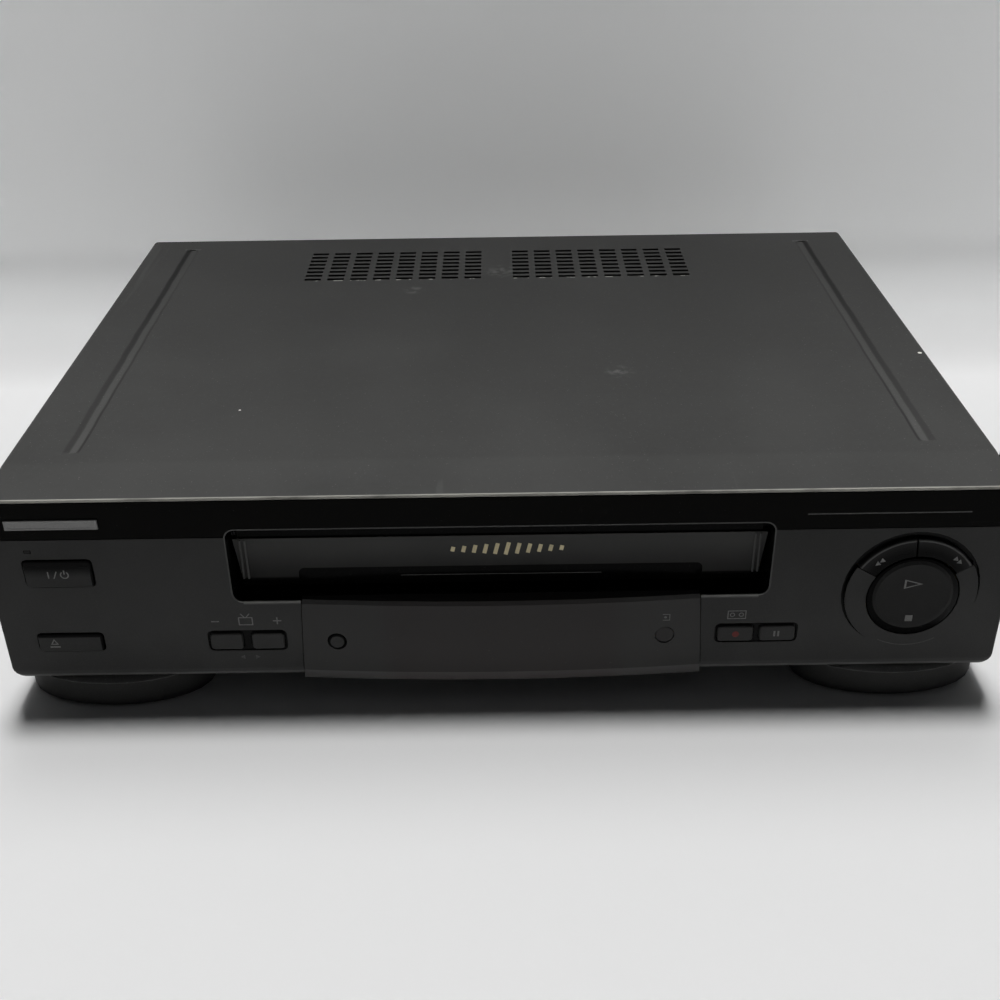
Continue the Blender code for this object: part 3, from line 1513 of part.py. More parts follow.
def capstan(look):
    """The capstan shaft with its flywheel and pulley under the deck."""
    wheel_top = deck_bottom - running_gap
    wheel_low = wheel_top - flywheel_thickness
    pulley_low = wheel_low - pulley_thickness
    made = body("capstan", turned("Z", capstan_x, capstan_y, [
        (capstan_pulley_radius, pulley_low), (capstan_pulley_radius, wheel_low),
        (flywheel_radius, wheel_low), (flywheel_radius, wheel_top),
        (capstan_radius, wheel_top), (capstan_radius, deck_top + capstan_height),
    ], 24))
    return settle(made, look, (capstan_x, capstan_y, deck_top))


def pulley_level():
    """Lowest and highest z of the two belt pulleys."""
    high = deck_bottom - running_gap - flywheel_thickness
    return high - pulley_thickness, high


def reel_pulley(look):
    """The pulley under the deck that drives the idler through its shaft."""
    low, high = pulley_level()
    pinion_low = deck_top + seat_gap + idler_arm_thickness + seat_gap
    pinion_radius = idler_arm_length - idler_gear_radius - seat_gap
    made = body("reel_pulley", turned("Z", 0, reel_y, [
        (reel_pulley_radius, low), (reel_pulley_radius, high), (pinion_radius, high),
        (pinion_radius, deck_bottom - seat_gap), (idler_shaft_radius, deck_bottom - seat_gap),
        (idler_shaft_radius, pinion_low), (pinion_radius, pinion_low),
        (pinion_radius, pinion_low + idler_gear_thickness),
    ], 20))
    return settle(made, look, (0, reel_y, deck_top))


def belt_loop(growth, z):
    """The belt's line round its two pulleys, grown outwards."""
    small = capstan_pulley_radius + seat_gap + growth
    large = reel_pulley_radius + seat_gap + growth
    span = Vector((capstan_x, capstan_y - reel_y))
    heading = math.degrees(math.atan2(span.y, span.x))
    wrap = math.degrees(math.acos((large - small) / span.length))
    points = arc(0, reel_y, large, heading + wrap, heading + 360 - wrap, 14)
    points += arc(capstan_x, capstan_y, small, heading - wrap, heading + wrap, 10)
    return [Vector((x, y, z)) for x, y in points]


def drive_belt(look):
    """The flat rubber belt from the capstan to the reel pulley."""
    low, high = pulley_level()
    middle = (low + high) / 2
    made = body("drive_belt", loft(belt_loop(belt_thickness, middle - belt_width / 2),
                                   belt_loop(belt_thickness, middle + belt_width / 2)))
    carve(made, loft(belt_loop(0, middle - belt_width), belt_loop(0, middle + belt_width)))
    return settle(made, look)


def reel_table(name, side, look):
    """A reel table: a toothed disc, the hub that the cassette reel sits on and its shaft."""
    x = side * reel_x
    low = deck_top + seat_gap
    high = low + reel_table_thickness
    outline = gear_outline(x, reel_y, reel_table_radius, reel_tooth_depth, reel_teeth)
    made = body(name, prism("Z", outline, low, high))
    root = low + reel_table_thickness / 2
    tip = reel_hub_radius / 2
    weld(made, turned("Z", x, reel_y, [
        (reel_hub_radius, root), (reel_hub_radius, high + reel_hub_height / 3),
        (tip, high + reel_hub_height / 2), (tip, high + reel_hub_height),
    ], 12))
    weld(made, rod("Z", x, reel_y, reel_shaft_radius, deck_bottom, root, 10))
    return settle(made, look, (x, reel_y, deck_top))


def idler(looks):
    """The swinging arm between the reel tables and the gear at its end."""
    low = deck_top + seat_gap
    high = low + idler_arm_thickness
    tip_y = reel_y - idler_arm_length
    half = idler_arm_half_width
    outline = arc(0, reel_y, half, 0, 180, 8) + arc(0, tip_y, half, 180, 360, 8)
    arm = body("idler_arm", prism("Z", outline, low, high))
    carve(arm, rod("Z", 0, reel_y, idler_shaft_radius + seat_gap, low - overrun, high + overrun, 10))
    carve(arm, rod("Z", 0, tip_y, idler_shaft_radius + seat_gap, low - overrun, high + overrun, 10))
    settle(arm, looks["plated_steel"], (0, reel_y, low))
    gear_low = high + seat_gap
    gear_high = gear_low + idler_gear_thickness
    outline = gear_outline(0, tip_y, idler_gear_radius, reel_tooth_depth, idler_teeth)
    gear = body("idler_gear", prism("Z", outline, gear_low, gear_high))
    weld(gear, rod("Z", 0, tip_y, idler_shaft_radius, low, gear_low + idler_gear_thickness / 2, 10))
    return settle(gear, looks["white_plastic"], (0, tip_y, gear_low), arm)


def guide_post(name, side, look):
    """A sled that runs along its track and the flanged roller post on it."""
    low = deck_top + seat_gap
    high = low + guide_sled_height
    half_long = guide_sled_length / 2
    half_wide = guide_sled_width / 2
    corners = rectangle(-half_long, half_long, -half_wide, half_wide)
    made = body(name, loft([along_track(side, a, c, low) for a, c in corners],
                           [along_track(side, a, c, high) for a, c in corners]))
    x = side * guide_start_x
    top = high + guide_post_height
    rim = guide_flange_thickness
    weld(made, turned("Z", x, guide_start_y, [
        (guide_flange_radius, low + guide_sled_height / 2), (guide_flange_radius, high + rim),
        (guide_post_radius, high + rim), (guide_post_radius, top - rim),
        (guide_flange_radius, top - rim), (guide_flange_radius, top),
    ], 10))
    half_pin = guide_slot_width / 2 - seat_gap
    weld(made, rod("Z", x, guide_start_y, half_pin, deck_bottom, low + guide_sled_height / 2, 10))
    return settle(made, look, (x, guide_start_y, low))


def swing_arm(name, pivot, length, half_width, low, thickness, degrees, shaft_radius, tip_profile, look):
    """A round-ended arm on a sleeve and a pivot shaft, with a turned post at its tip."""
    pivot_x, pivot_y = pivot
    angle = math.radians(degrees)
    tip_x = pivot_x + length * math.cos(angle)
    tip_y = pivot_y + length * math.sin(angle)
    outline = arc(tip_x, tip_y, half_width, degrees - 90, degrees + 90, 8)
    outline += arc(pivot_x, pivot_y, half_width, degrees + 90, degrees + 270, 8)
    made = body(name, prism("Z", outline, low, low + thickness))
    sleeve_low = deck_top + seat_gap
    sleeve_radius = half_width * arm_sleeve_share
    shaft = turned("Z", pivot_x, pivot_y, [
        (shaft_radius, deck_bottom), (shaft_radius, sleeve_low), (sleeve_radius, sleeve_low),
        (sleeve_radius, low + thickness / 2),
    ], 12)
    weld(made, gather([shaft, turned("Z", tip_x, tip_y, tip_profile, 12)]))
    settle(made, look, (pivot_x, pivot_y, low))
    return made, tip_x, tip_y


def pinch_rest_degrees():
    """Direction of the pinch arm at rest, swung clear of the capstan."""
    span = Vector((capstan_x - pinch_pivot_x, capstan_y - pinch_pivot_y))
    reach = capstan_radius + pinch_roller_radius + pinch_contact_gap
    cosine = (span.length**2 + pinch_arm_length**2 - reach**2) / (2 * span.length * pinch_arm_length)
    contact = math.degrees(math.acos(min(cosine, 1)))
    heading = math.degrees(math.atan2(span.y, span.x))
    return heading - contact - pinch_swing_degrees


def pinch(looks):
    """The pinch arm and the rubber roller that turns on its end."""
    low = deck_top + pinch_arm_lift
    roller_low = low + pinch_arm_thickness + seat_gap
    roller_high = roller_low + pinch_roller_height
    post = [(pinch_shaft_radius, low + pinch_arm_thickness / 2),
            (pinch_shaft_radius, roller_high + pinch_shaft_radius)]
    pivot = (pinch_pivot_x, pinch_pivot_y)
    arm, x, y = swing_arm("pinch_arm", pivot, pinch_arm_length, pinch_arm_half_width, low,
                          pinch_arm_thickness, pinch_rest_degrees(), pinch_shaft_radius, post,
                          looks["steel"])
    roller = body("pinch_roller", rod("Z", x, y, pinch_roller_radius, roller_low, roller_high, 20))
    carve(roller, rod("Z", x, y, pinch_shaft_radius + seat_gap,
                      roller_low - overrun, roller_high + overrun, 10))
    return settle(roller, looks["rubber"], (x, y, roller_low), arm)


def tension_arm(look):
    """The back-tension arm with the flanged post that the tape leans on."""
    low = deck_top + tension_arm_lift
    high = low + tension_arm_thickness
    top = high + tension_post_height
    rim = tension_arm_thickness / 2
    post = [
        (tension_post_radius, low + rim), (tension_post_radius, top - rim),
        (tension_post_radius + rim, top - rim), (tension_post_radius + rim, top),
    ]
    swing_arm("tension_arm", (tension_pivot_x, tension_pivot_y), tension_arm_length, tension_arm_half_width,
              low, tension_arm_thickness, tension_rest_degrees, pinch_shaft_radius, post, look)


def tape_head(name, x, y, width, depth, height, side, look):
    """A fixed head: its base, the block that the tape passes and an adjusting post beside it."""
    low = deck_top + seat_gap
    base_top = low + head_base_height
    margin = head_base_margin
    made = body(name, box(x - width / 2 - margin, x + width / 2 + margin, y - depth / 2 - margin,
                          y + depth / 2 + margin, low, base_top))
    root = low + head_base_height / 2
    nose = width / 4
    outline = [
        (x - nose, y - depth / 2 - margin / 2), (x + nose, y - depth / 2 - margin / 2),
        (x + width / 2, y - depth / 4), (x + width / 2, y + depth / 4),
        (x - width / 2, y + depth / 4), (x - width / 2, y - depth / 4),
    ]
    weld(made, prism("Z", outline, root, low + height))
    post_x = x + side * width / 4
    post_y = y + depth / 2 + head_post_radius / 2
    weld(made, rod("Z", post_x, post_y, head_post_radius, root, low + height * head_post_height_share, 10))
    return settle(made, look)


def cam_gear(look):
    """The cam gear that draws the guides out and closes the pinch arm."""
    low = deck_top + seat_gap
    high = low + cam_thickness
    outline = gear_outline(cam_x, cam_y, cam_radius, cam_tooth_depth, cam_teeth)
    made = body("cam_gear", prism("Z", outline, low, high))
    root = low + cam_thickness / 2
    hub = turned("Z", cam_x, cam_y, [(cam_hub_radius, root), (cam_hub_radius, high + cam_hub_height)], 12)
    weld(made, hub)
    weld(made, rod("Z", cam_x, cam_y, idler_shaft_radius, deck_bottom, root, 10))
    return settle(made, look, (cam_x, cam_y, low))


def loading_motor(look):
    """The motor under the deck whose pinion comes up beside the cam gear."""
    high = deck_bottom - seat_gap
    low = high - motor_height
    tip = deck_top + seat_gap + motor_pinion_height
    boss = motor_radius / 3
    made = body("loading_motor", turned("Z", motor_x, cam_y, [
        (boss, low - seat_gap), (boss, low), (motor_radius, low), (motor_radius, high),
        (motor_pinion_radius, high), (motor_pinion_radius, tip),
    ], 20))
    return settle(made, look)


# Cassette loader

def slot(axis, start_u, end_u, start_v, end_v, radius, low, high):
    """A round-ended cutter between two places in the plane across an axis."""
    heading = math.degrees(math.atan2(end_v - start_v, end_u - start_u))
    outline = arc(end_u, end_v, radius, heading - 90, heading + 90, 5)
    outline += arc(start_u, start_v, radius, heading + 90, heading + 270, 5)
    return prism(axis, outline, low, high)


def side_pins(half_width, length, places, z):
    """Short pins standing out of both side walls, at several places along Y."""
    pins = []
    for side in (-1, 1):
        inner = side * (half_width - holder_wall / 2)
        outer = side * (half_width + length)
        for y in places:
            pins.append(rod("X", y, z, holder_pin_radius, min(inner, outer), max(inner, outer), 10))
    return gather(pins)


def holder_pin_places():
    """Where along Y the holder's pins stand."""
    return holder_front + holder_pin_inset, holder_back - holder_pin_inset


def carriage_pin_places():
    """Where along Y the carriage's pins stand."""
    return carriage_front + holder_pin_inset / 3, carriage_back - holder_pin_inset / 3


def cassette_holder(look, carrier):
    """The cassette's basket: two side walls, a top plate and a ledge along each side."""
    outline = [
        (-holder_x, holder_floor), (-holder_x + holder_wall + holder_ledge, holder_floor),
        (-holder_x + holder_wall + holder_ledge, holder_floor + holder_ledge_thickness),
        (-holder_inner_x, holder_floor + holder_ledge_thickness), (-holder_inner_x, holder_inner_top),
        (holder_inner_x, holder_inner_top), (holder_inner_x, holder_floor + holder_ledge_thickness),
        (holder_x - holder_wall - holder_ledge, holder_floor + holder_ledge_thickness),
        (holder_x - holder_wall - holder_ledge, holder_floor), (holder_x, holder_floor),
        (holder_x, holder_top), (-holder_x, holder_top),
    ]
    made = body("cassette_holder", prism("Y", outline, holder_front, holder_back))
    weld(made, side_pins(holder_x, holder_pin_length, holder_pin_places(), holder_pin_z))
    middle = (holder_front + holder_back) / 2
    window = rounded(0, middle, holder_inner_x, holder_length / 2, holder_ledge / 2)
    carve(made, prism("Z", window, holder_inner_top - overrun, holder_top + overrun))
    return settle(made, look, (0, holder_front, holder_floor), carrier)


def loader_carriage(look):
    """The sliding carriage: two slotted side walls and a bridge over the holder."""
    low = holder_pin_z - load_drop - 2 * (holder_pin_radius + seat_gap)
    made = body("loader_carriage", box(-carriage_x, carriage_x, carriage_front, carriage_back,
                                       low, carriage_top))
    carve(made, box(-carriage_inner_x, carriage_inner_x, carriage_front - overrun, carriage_back + overrun,
                    low - overrun, carriage_top - carriage_wall))
    middle = (carriage_front + carriage_back) / 2
    ends = []
    for side in (-1, 1):
        near = middle + side * carriage_bridge_length / 2
        far = middle + side * carriage_length
        ends.append(box(-carriage_inner_x, carriage_inner_x, min(near, far), max(near, far),
                        carriage_top - 2 * carriage_wall, carriage_top + overrun))
    carve(made, gather(ends))
    weld(made, side_pins(carriage_x, carriage_pin_length, carriage_pin_places(), carriage_pin_z))
    radius = holder_pin_radius + seat_gap
    slots = [slot("X", y, y, holder_pin_z - load_drop, holder_pin_z, radius, -cover_x, cover_x)
             for y in holder_pin_places()]
    carve(made, gather(slots))
    return settle(made, look, (0, carriage_front, carriage_pin_z))


def loader_frame(look):
    """The fixed frame on the deck: two walls with guide slots and a bridge at the back."""
    low = deck_top + seat_gap
    made = body("loader_frame", box(-frame_x, frame_x, frame_front, frame_back, low, frame_top))
    carve(made, box(-frame_inner_x, frame_inner_x, frame_front - overrun, frame_back + overrun,
                    low - overrun, frame_top - frame_wall))
    carve(made, box(-frame_inner_x, frame_inner_x, frame_front - overrun, frame_back - frame_bridge_length,
                    frame_top - 2 * frame_wall, frame_top + overrun))
    radius = holder_pin_radius + seat_gap
    slots = [slot("X", y, y + load_slide, carriage_pin_z, carriage_pin_z, radius, -cover_x, cover_x)
             for y in carriage_pin_places()]
    carve(made, gather(slots))
    return settle(made, look)


def enclosure(looks):
    """The shells, the fasteners and the feet."""
    top_cover(looks["painted_steel"])
    screws(looks["black_screw"])
    chassis_tray(looks["plated_steel"])
    rear_panel(looks["painted_steel"])
    feet(looks["foot_plastic"])
    front_bezel(looks["matt_plastic"])
    trim_band(looks["gloss_black"])
    display_window(looks["smoked_plastic"])
    sensor_lens(looks["dark_lens"])
    power_lens(looks["dark_lens"])
    door = cassette_door(looks["matt_plastic"])
    door_spring(looks["steel"], door)


def sockets(looks):
    """What stands through the rear panel."""
    audio_video_jacks(looks["black_plastic"])
    antenna_terminals(looks["steel"])
    channel_switch(looks["black_plastic"])
    mains_inlet(looks["black_plastic"])


def electrical_pieces(looks):
    """The boards and what stands on them or on the tray."""
    main_board(looks["board"])
    front_board(looks["board"])
    display_tube(looks["glass"])
    power_transformer(looks["core"])
    tuner_can(looks["steel"])


def deck(looks):
    """The tape transport."""
    deck_plate(looks["plated_steel"])
    drums(looks["drum"])
    capstan(looks["steel"])
    reel_pulley(looks["white_plastic"])
    drive_belt(looks["rubber"])
    reel_table("supply_reel_table", -1, looks["white_plastic"])
    reel_table("takeup_reel_table", 1, looks["white_plastic"])
    idler(looks)
    guide_post("left_guide_post", -1, looks["steel"])
    guide_post("right_guide_post", 1, looks["steel"])
    pinch(looks)
    tension_arm(looks["steel"])
    tape_head("audio_control_head", audio_head_x, audio_head_y, audio_head_width, audio_head_depth,
              audio_head_height, 1, looks["steel"])
    tape_head("erase_head", erase_head_x, erase_head_y, erase_head_width, erase_head_depth,
              erase_head_height, -1, looks["steel"])
    cam_gear(looks["white_plastic"])
    loading_motor(looks["steel"])


def loader(looks):
    """What carries the cassette in and down."""
    loader_frame(looks["plated_steel"])
    carriage = loader_carriage(looks["plated_steel"])
    cassette_holder(looks["plated_steel"], carriage)


def all_looks():
    """The materials, by what they are."""
    recipes = {
        "painted_steel": ((0.047, 0.047, 0.044), 0.5, 0),
        "plated_steel": ((0.55, 0.54, 0.5), 0.38, 0.9),
        "steel": ((0.6, 0.6, 0.6), 0.3, 1),
        "black_screw": ((0.03, 0.03, 0.03), 0.4, 0.6),
        "matt_plastic": ((0.021, 0.021, 0.021), 0.55, 0),
        "button_plastic": ((0.024, 0.024, 0.024), 0.45, 0),
        "gloss_black": ((0.004, 0.004, 0.004), 0.12, 0),
        "smoked_plastic": ((0.006, 0.005, 0.005), 0.08, 0),
        "dark_lens": ((0.01, 0.005, 0.006), 0.1, 0),
        "foot_plastic": ((0.012, 0.012, 0.012), 0.6, 0),
        "black_plastic": ((0.015, 0.015, 0.015), 0.5, 0),
        "white_plastic": ((0.6, 0.59, 0.55), 0.45, 0),
        "board": ((0.16, 0.1, 0.035), 0.6, 0),
        "glass": ((0.03, 0.05, 0.045), 0.08, 0),
        "core": ((0.09, 0.075, 0.06), 0.5, 0.4),
        "drum": ((0.66, 0.66, 0.67), 0.22, 1),
        "rubber": ((0.013, 0.013, 0.013), 0.8, 0),
    }
    return {name: finish(name, *recipe) for name, recipe in recipes.items()}


def build():
    """Makes every piece of the recorder."""
    looks = all_looks()
    enclosure(looks)
    controls(looks)
    sockets(looks)
    electrical_pieces(looks)
    deck(looks)
    loader(looks)


build()
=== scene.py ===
"""Fine pieces and finishes for a video cassette recorder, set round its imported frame.

Lengths are in metres, +Z is up and the front faces -Y.  The frame's solids carry the
shapes; this file rounds their edges, adds the small pieces that the solids leave out
and gives every surface its material.
"""

from __future__ import annotations

import json
import logging
import math
from contextlib import contextmanager
from dataclasses import dataclass
from enum import Enum
from typing import Callable, Iterator, Sequence

import bmesh
import bpy
from mathutils import Matrix, Vector

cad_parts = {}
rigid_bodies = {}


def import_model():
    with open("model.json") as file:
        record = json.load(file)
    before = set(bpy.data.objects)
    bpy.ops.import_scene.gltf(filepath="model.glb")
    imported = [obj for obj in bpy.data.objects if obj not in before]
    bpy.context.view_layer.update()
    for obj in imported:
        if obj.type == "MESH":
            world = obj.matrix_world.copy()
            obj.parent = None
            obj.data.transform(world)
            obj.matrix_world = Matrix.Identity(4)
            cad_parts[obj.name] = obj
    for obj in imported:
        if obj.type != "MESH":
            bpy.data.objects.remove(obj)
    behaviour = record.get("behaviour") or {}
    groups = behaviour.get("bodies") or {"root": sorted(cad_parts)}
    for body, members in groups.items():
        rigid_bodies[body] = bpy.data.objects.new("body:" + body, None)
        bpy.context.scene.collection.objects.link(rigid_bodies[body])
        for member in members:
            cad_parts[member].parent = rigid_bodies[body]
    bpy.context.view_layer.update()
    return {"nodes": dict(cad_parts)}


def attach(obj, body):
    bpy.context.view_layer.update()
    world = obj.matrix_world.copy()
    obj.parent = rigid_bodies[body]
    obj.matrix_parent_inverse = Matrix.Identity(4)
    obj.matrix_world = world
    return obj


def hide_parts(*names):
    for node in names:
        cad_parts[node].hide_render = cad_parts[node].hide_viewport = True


for leftover in list(bpy.data.objects):
    bpy.data.objects.remove(leftover)

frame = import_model()

log = logging.getLogger("recorder")

MM = 0.001
FRONT = -155.25 * MM
REAR = FRONT + 304.5 * MM
SQUARE_ON = 0.9

Colour = tuple[float, float, float]
Spot = tuple[float, float, float]
Piece = bpy.types.Object
Test = Callable[[Vector, Vector], bool]


class Metric(Enum):
    """How the distance to a point of cell noise is measured."""

    STRAIGHT = "EUCLIDEAN"
    BLOCKS = "MANHATTAN"


# Shader wiring


class Wire:
    """A shader socket on which Python's operators add Math nodes."""

    def __init__(self, bench: Bench, socket: bpy.types.NodeSocket) -> None:
        """Holds an output socket on a bench."""
        self.bench = bench
        self.socket = socket

    def maths(self, operation: str, *values: Value) -> Wire:
        """The result of one Math node."""
        return self.bench.node("Math", {"operation": operation}, dict(enumerate(values)))

    def pick(self, name: str) -> Wire:
        """Another output of the same node."""
        return Wire(self.bench, self.socket.node.outputs[name])

    def __add__(self, other: Value) -> Wire:
        """self + other."""
        return self.maths("ADD", self, other)

    __radd__ = __add__

    def __sub__(self, other: Value) -> Wire:
        """self - other."""
        return self.maths("SUBTRACT", self, other)

    def __rsub__(self, other: Value) -> Wire:
        """other - self."""
        return self.maths("SUBTRACT", other, self)

    def __mul__(self, other: Value) -> Wire:
        """self * other."""
        return self.maths("MULTIPLY", self, other)

    __rmul__ = __mul__

    def __pow__(self, other: Value) -> Wire:
        """self to the power of other."""
        return self.maths("POWER", self, other)

    def __abs__(self) -> Wire:
        """The size of self."""
        return self.maths("ABSOLUTE", self)

    def sine(self) -> Wire:
        """The sine of self."""
        return self.maths("SINE", self)

    def larger(self, other: Value) -> Wire:
        """The larger of two values."""
        return self.maths("MAXIMUM", self, other)

    def wave(self, pitch: float, phase: float = 0.0) -> Wire:
        """The sine of self, with one turn for each pitch, from a phase in turns."""
        turn = self * (2 * math.pi / pitch)
        return (turn + 2 * math.pi * phase if phase else turn).sine()


Value = Wire | float


class Bench:
    """The nodes of one material, with its Principled shader, or of the world."""

    def __init__(self, name: str, tree: bpy.types.NodeTree | None = None) -> None:
        """Makes an empty material, unless a node tree is given.

        Args:
            name: The material's name.
            tree: The world's nodes.
        """
        if tree is None:
            self.material = bpy.data.materials.new(name)
            self.material.use_nodes = True
            tree = self.material.node_tree
            self.shader = tree.nodes["Principled BSDF"]
        self.tree = tree
        self._shared: dict[str, Wire] = {}

    def feed(self, socket: bpy.types.NodeSocket, value: Value | Colour) -> None:
        """Links a Wire to a socket, or sets the socket to a value.

        Args:
            socket: An input socket.
            value: What it gets; a colour has no alpha.
        """
        if isinstance(value, Wire):
            self.tree.links.new(value.socket, socket)
        else:
            socket.default_value = (*value, 1) if socket.type == "RGBA" else value

    def node(self, kind: str, settings: dict, inputs: dict, output: int | str = 0) -> Wire:
        """Adds any node.

        Args:
            kind: The node's type, without its first word ShaderNode.
            settings: Its own settings, set before its inputs.
            inputs: A value or a Wire for each named or numbered input.
            output: Which output is wanted.

        Returns:
            That output.
        """
        made = self.tree.nodes.new(f"ShaderNode{kind}")
        for key, value in settings.items():
            setattr(made, key, value)
        for key, value in inputs.items():
            self.feed(made.inputs[key], value)
        return Wire(self, made.outputs[output])

    def shared(self, kind: str, inputs: dict, output: str) -> Wire:
        """An output of a node that is added once.

        Args:
            kind: The node's type.
            inputs: Its inputs.
            output: Which output is wanted.

        Returns:
            That output.
        """
        if kind not in self._shared:
            self._shared[kind] = self.node(kind, {}, inputs)
        return self._shared[kind].pick(output)

    def place(self) -> Wire:
        """The point on the surface, in metres."""
        return self.shared("TexCoord", {}, "Object")

    def axis(self, name: str) -> Wire:
        """The point's X, Y or Z."""
        return self.shared("SeparateXYZ", {0: self.place()}, name)

    def noise(self, scale: float, detail: float = 2.0, stretch: Spot = (1, 1, 1)) -> Wire:
        """Cloudy noise from 0 to 1, by its lumps per metre, its finer octaves and its stretch along each axis."""
        point = self.node("Mapping", {}, {"Vector": self.place(), "Scale": stretch})
        return self.node("TexNoise", {}, {"Vector": point, "Scale": scale, "Detail": detail})

    def cells(self, scale: float, metric: Metric = Metric.STRAIGHT) -> Wire:
        """The distance to the nearest point of cell noise."""
        inputs = {"Vector": self.place(), "Scale": scale}
        return self.node("TexVoronoi", {"distance": metric.value}, inputs, "Distance")

    def between(self, value: Value, low: float, high: float) -> Wire:
        """0 at low, 1 at high, smooth between them; low may be the larger."""
        inputs = {"Value": value, "From Min": low, "From Max": high}
        return self.node("MapRange", {"interpolation_type": "SMOOTHSTEP"}, inputs)

    def band(self, value: Wire, middle: float, half: float, blur: float) -> Wire:
        """1 within half of the middle and 0 outside, with a soft edge."""
        return self.between(abs(value - middle), half + blur, half)

    def spot(self, centre: Spot, radius: float, blur: float) -> Wire:
        """1 within a radius of a point, with a soft edge."""
        span = self.node("VectorMath", {"operation": "DISTANCE"}, {0: self.place(), 1: centre}, "Value")
        return self.between(span, radius + blur, radius)

    def mix(self, factor: Value, first: Wire | Colour, second: Wire | Colour) -> Wire:
        """The first colour at a factor of 0, the second at 1 and their blend between."""
        return self.node("Mix", {"data_type": "RGBA"}, {0: factor, 6: first, 7: second}, 2)

    def scaled(self, colour: Wire | Colour, share: Value) -> Wire:
        """A colour made lighter or darker by a share."""
        return self.node("VectorMath", {"operation": "SCALE"}, {0: colour, "Scale": share})

    def bump(self, height: Wire, depth: float) -> Wire:
        """A relief from a height between 0 and 1, where a height of 1 is so deep in metres."""
        return self.node("Bump", {}, {"Height": height, "Distance": depth, "Strength": 1.0})

    def facing_up(self) -> Wire:
        """1 where the surface faces up, 0 where it is upright or faces down."""
        normal = self.node("NewGeometry", {}, {}, "Normal")
        return self.between(self.node("SeparateXYZ", {}, {0: normal}, "Z"), 0.3, 0.95)

    def looked_at(self) -> Wire:
        """1 for what the camera, a reflection or clear glass sees, 0 for light."""
        seen = [self.node("LightPath", {}, {}, f"Is {kind} Ray") for kind in ("Camera", "Glossy", "Transmission")]
        return seen[0].larger(seen[1]).larger(seen[2])

    def see_through_from_behind(self) -> None:
        """Makes the back of a sheet clear."""
        behind = self.node("NewGeometry", {}, {}, "Backfacing")
        front, clear = Wire(self, self.shader.outputs[0]), self.node("BsdfTransparent", {}, {})
        both = self.node("MixShader", {}, {0: behind, 1: front, 2: clear})
        self.feed(self.tree.nodes["Material Output"].inputs["Surface"], both)

    def surface(self, **sockets: Value | Colour) -> None:
        """Feeds the shader's sockets by name; a name's underscores stand for spaces."""
        for name, value in sockets.items():
            self.feed(self.shader.inputs[name.replace("_", " ")], value)


# Finishes


@dataclass(frozen=True)
class Finish:
    """A finish with its colour, gloss and relief; each kind wires its own detail."""

    name: str
    slot: str
    colour: Colour
    roughness: float = 0.5
    shine: float = 0.2

    def material(self) -> bpy.types.Material:
        """The finish's material, made once and shared."""
        known = bpy.data.materials.get(f"finish_{self.name}")
        if known:
            return known
        bench = Bench(f"finish_{self.name}")
        self.wire(bench)
        bench.surface(Specular_IOR_Level=self.shine)
        return bench.material

    def shade(self, share: float) -> Colour:
        """The finish's colour made lighter or darker by a share."""
        return tuple(channel * share for channel in self.colour)

    def wire(self, bench: Bench) -> None:
        """Wires the finish's nodes."""
        bench.surface(Base_Color=self.colour, Roughness=self.roughness)


@dataclass(frozen=True)
class EnamelSteel(Finish):
    """Baked enamel on sheet steel: fine orange peel, faint clouds, old scuffs and lighter lines along edges, partly
    wear and partly painted highlight.
    """

    wear_and_highlight: Colour = (0.2, 0.195, 0.18)
    wear_and_highlight_lines: tuple[tuple[str, float, float], ...] = ()
    scuffs: tuple[tuple[Spot, float], ...] = ()
    chips: tuple[tuple[Spot, float], ...] = ()

    def paint(self, bench: Bench) -> Wire:
        """The enamel's colour with its wear and its lines of wear and painted highlight."""
        cloud = bench.noise(14, 3)
        fine = bench.noise(420, 2)
        base = bench.mix(bench.between(cloud, 0.3, 0.75), self.shade(0.9), self.shade(1.13))
        base = bench.mix(0.25 * fine, base, self.shade(1.5))
        dust = bench.between(bench.noise(1500, 1), 0.72, 0.8) * bench.facing_up()
        base = bench.mix(0.22 * dust, base, (0.3, 0.3, 0.28))
        hair = bench.between(bench.noise(60, 4, (1, 0.05, 1)), 0.66, 0.7) * 0.04
        base = bench.mix(hair, base, (0.25, 0.25, 0.24))
        patchy_wear_and_highlight = bench.between(bench.noise(45, 4), 0.25, 0.6) * 0.5 + 0.35
        # Lighter lines along edges: paint wear together with a painted highlight where a rounded edge would catch the
        # light.
        for axis, middle, half in self.wear_and_highlight_lines:
            base = bench.mix(bench.band(bench.axis(axis), middle, half, half) * patchy_wear_and_highlight, base, self.wear_and_highlight)
        for centre, radius in self.scuffs:
            rub = bench.spot(centre, radius * 0.25, radius) * bench.between(bench.noise(260, 3), 0.38, 0.7)
            base = bench.mix(rub * 0.16, base, (0.35, 0.35, 0.34))
        for centre, radius in self.chips:
            base = bench.mix(bench.spot(centre, radius, radius * 0.2), base, (0.62, 0.6, 0.55))
        return base

    def wire(self, bench: Bench) -> None:
        """Wires the paint, the sheen's drift and the orange peel."""
        peel = bench.noise(1500, 1) * 0.7 + bench.noise(5200, 0) * 0.3
        bench.surface(
            Base_Color=self.paint(bench),
            Roughness=self.roughness + (bench.noise(14, 3) - 0.5) * 0.12,
            Normal=bench.bump(peel, 0.012 * MM),
        )


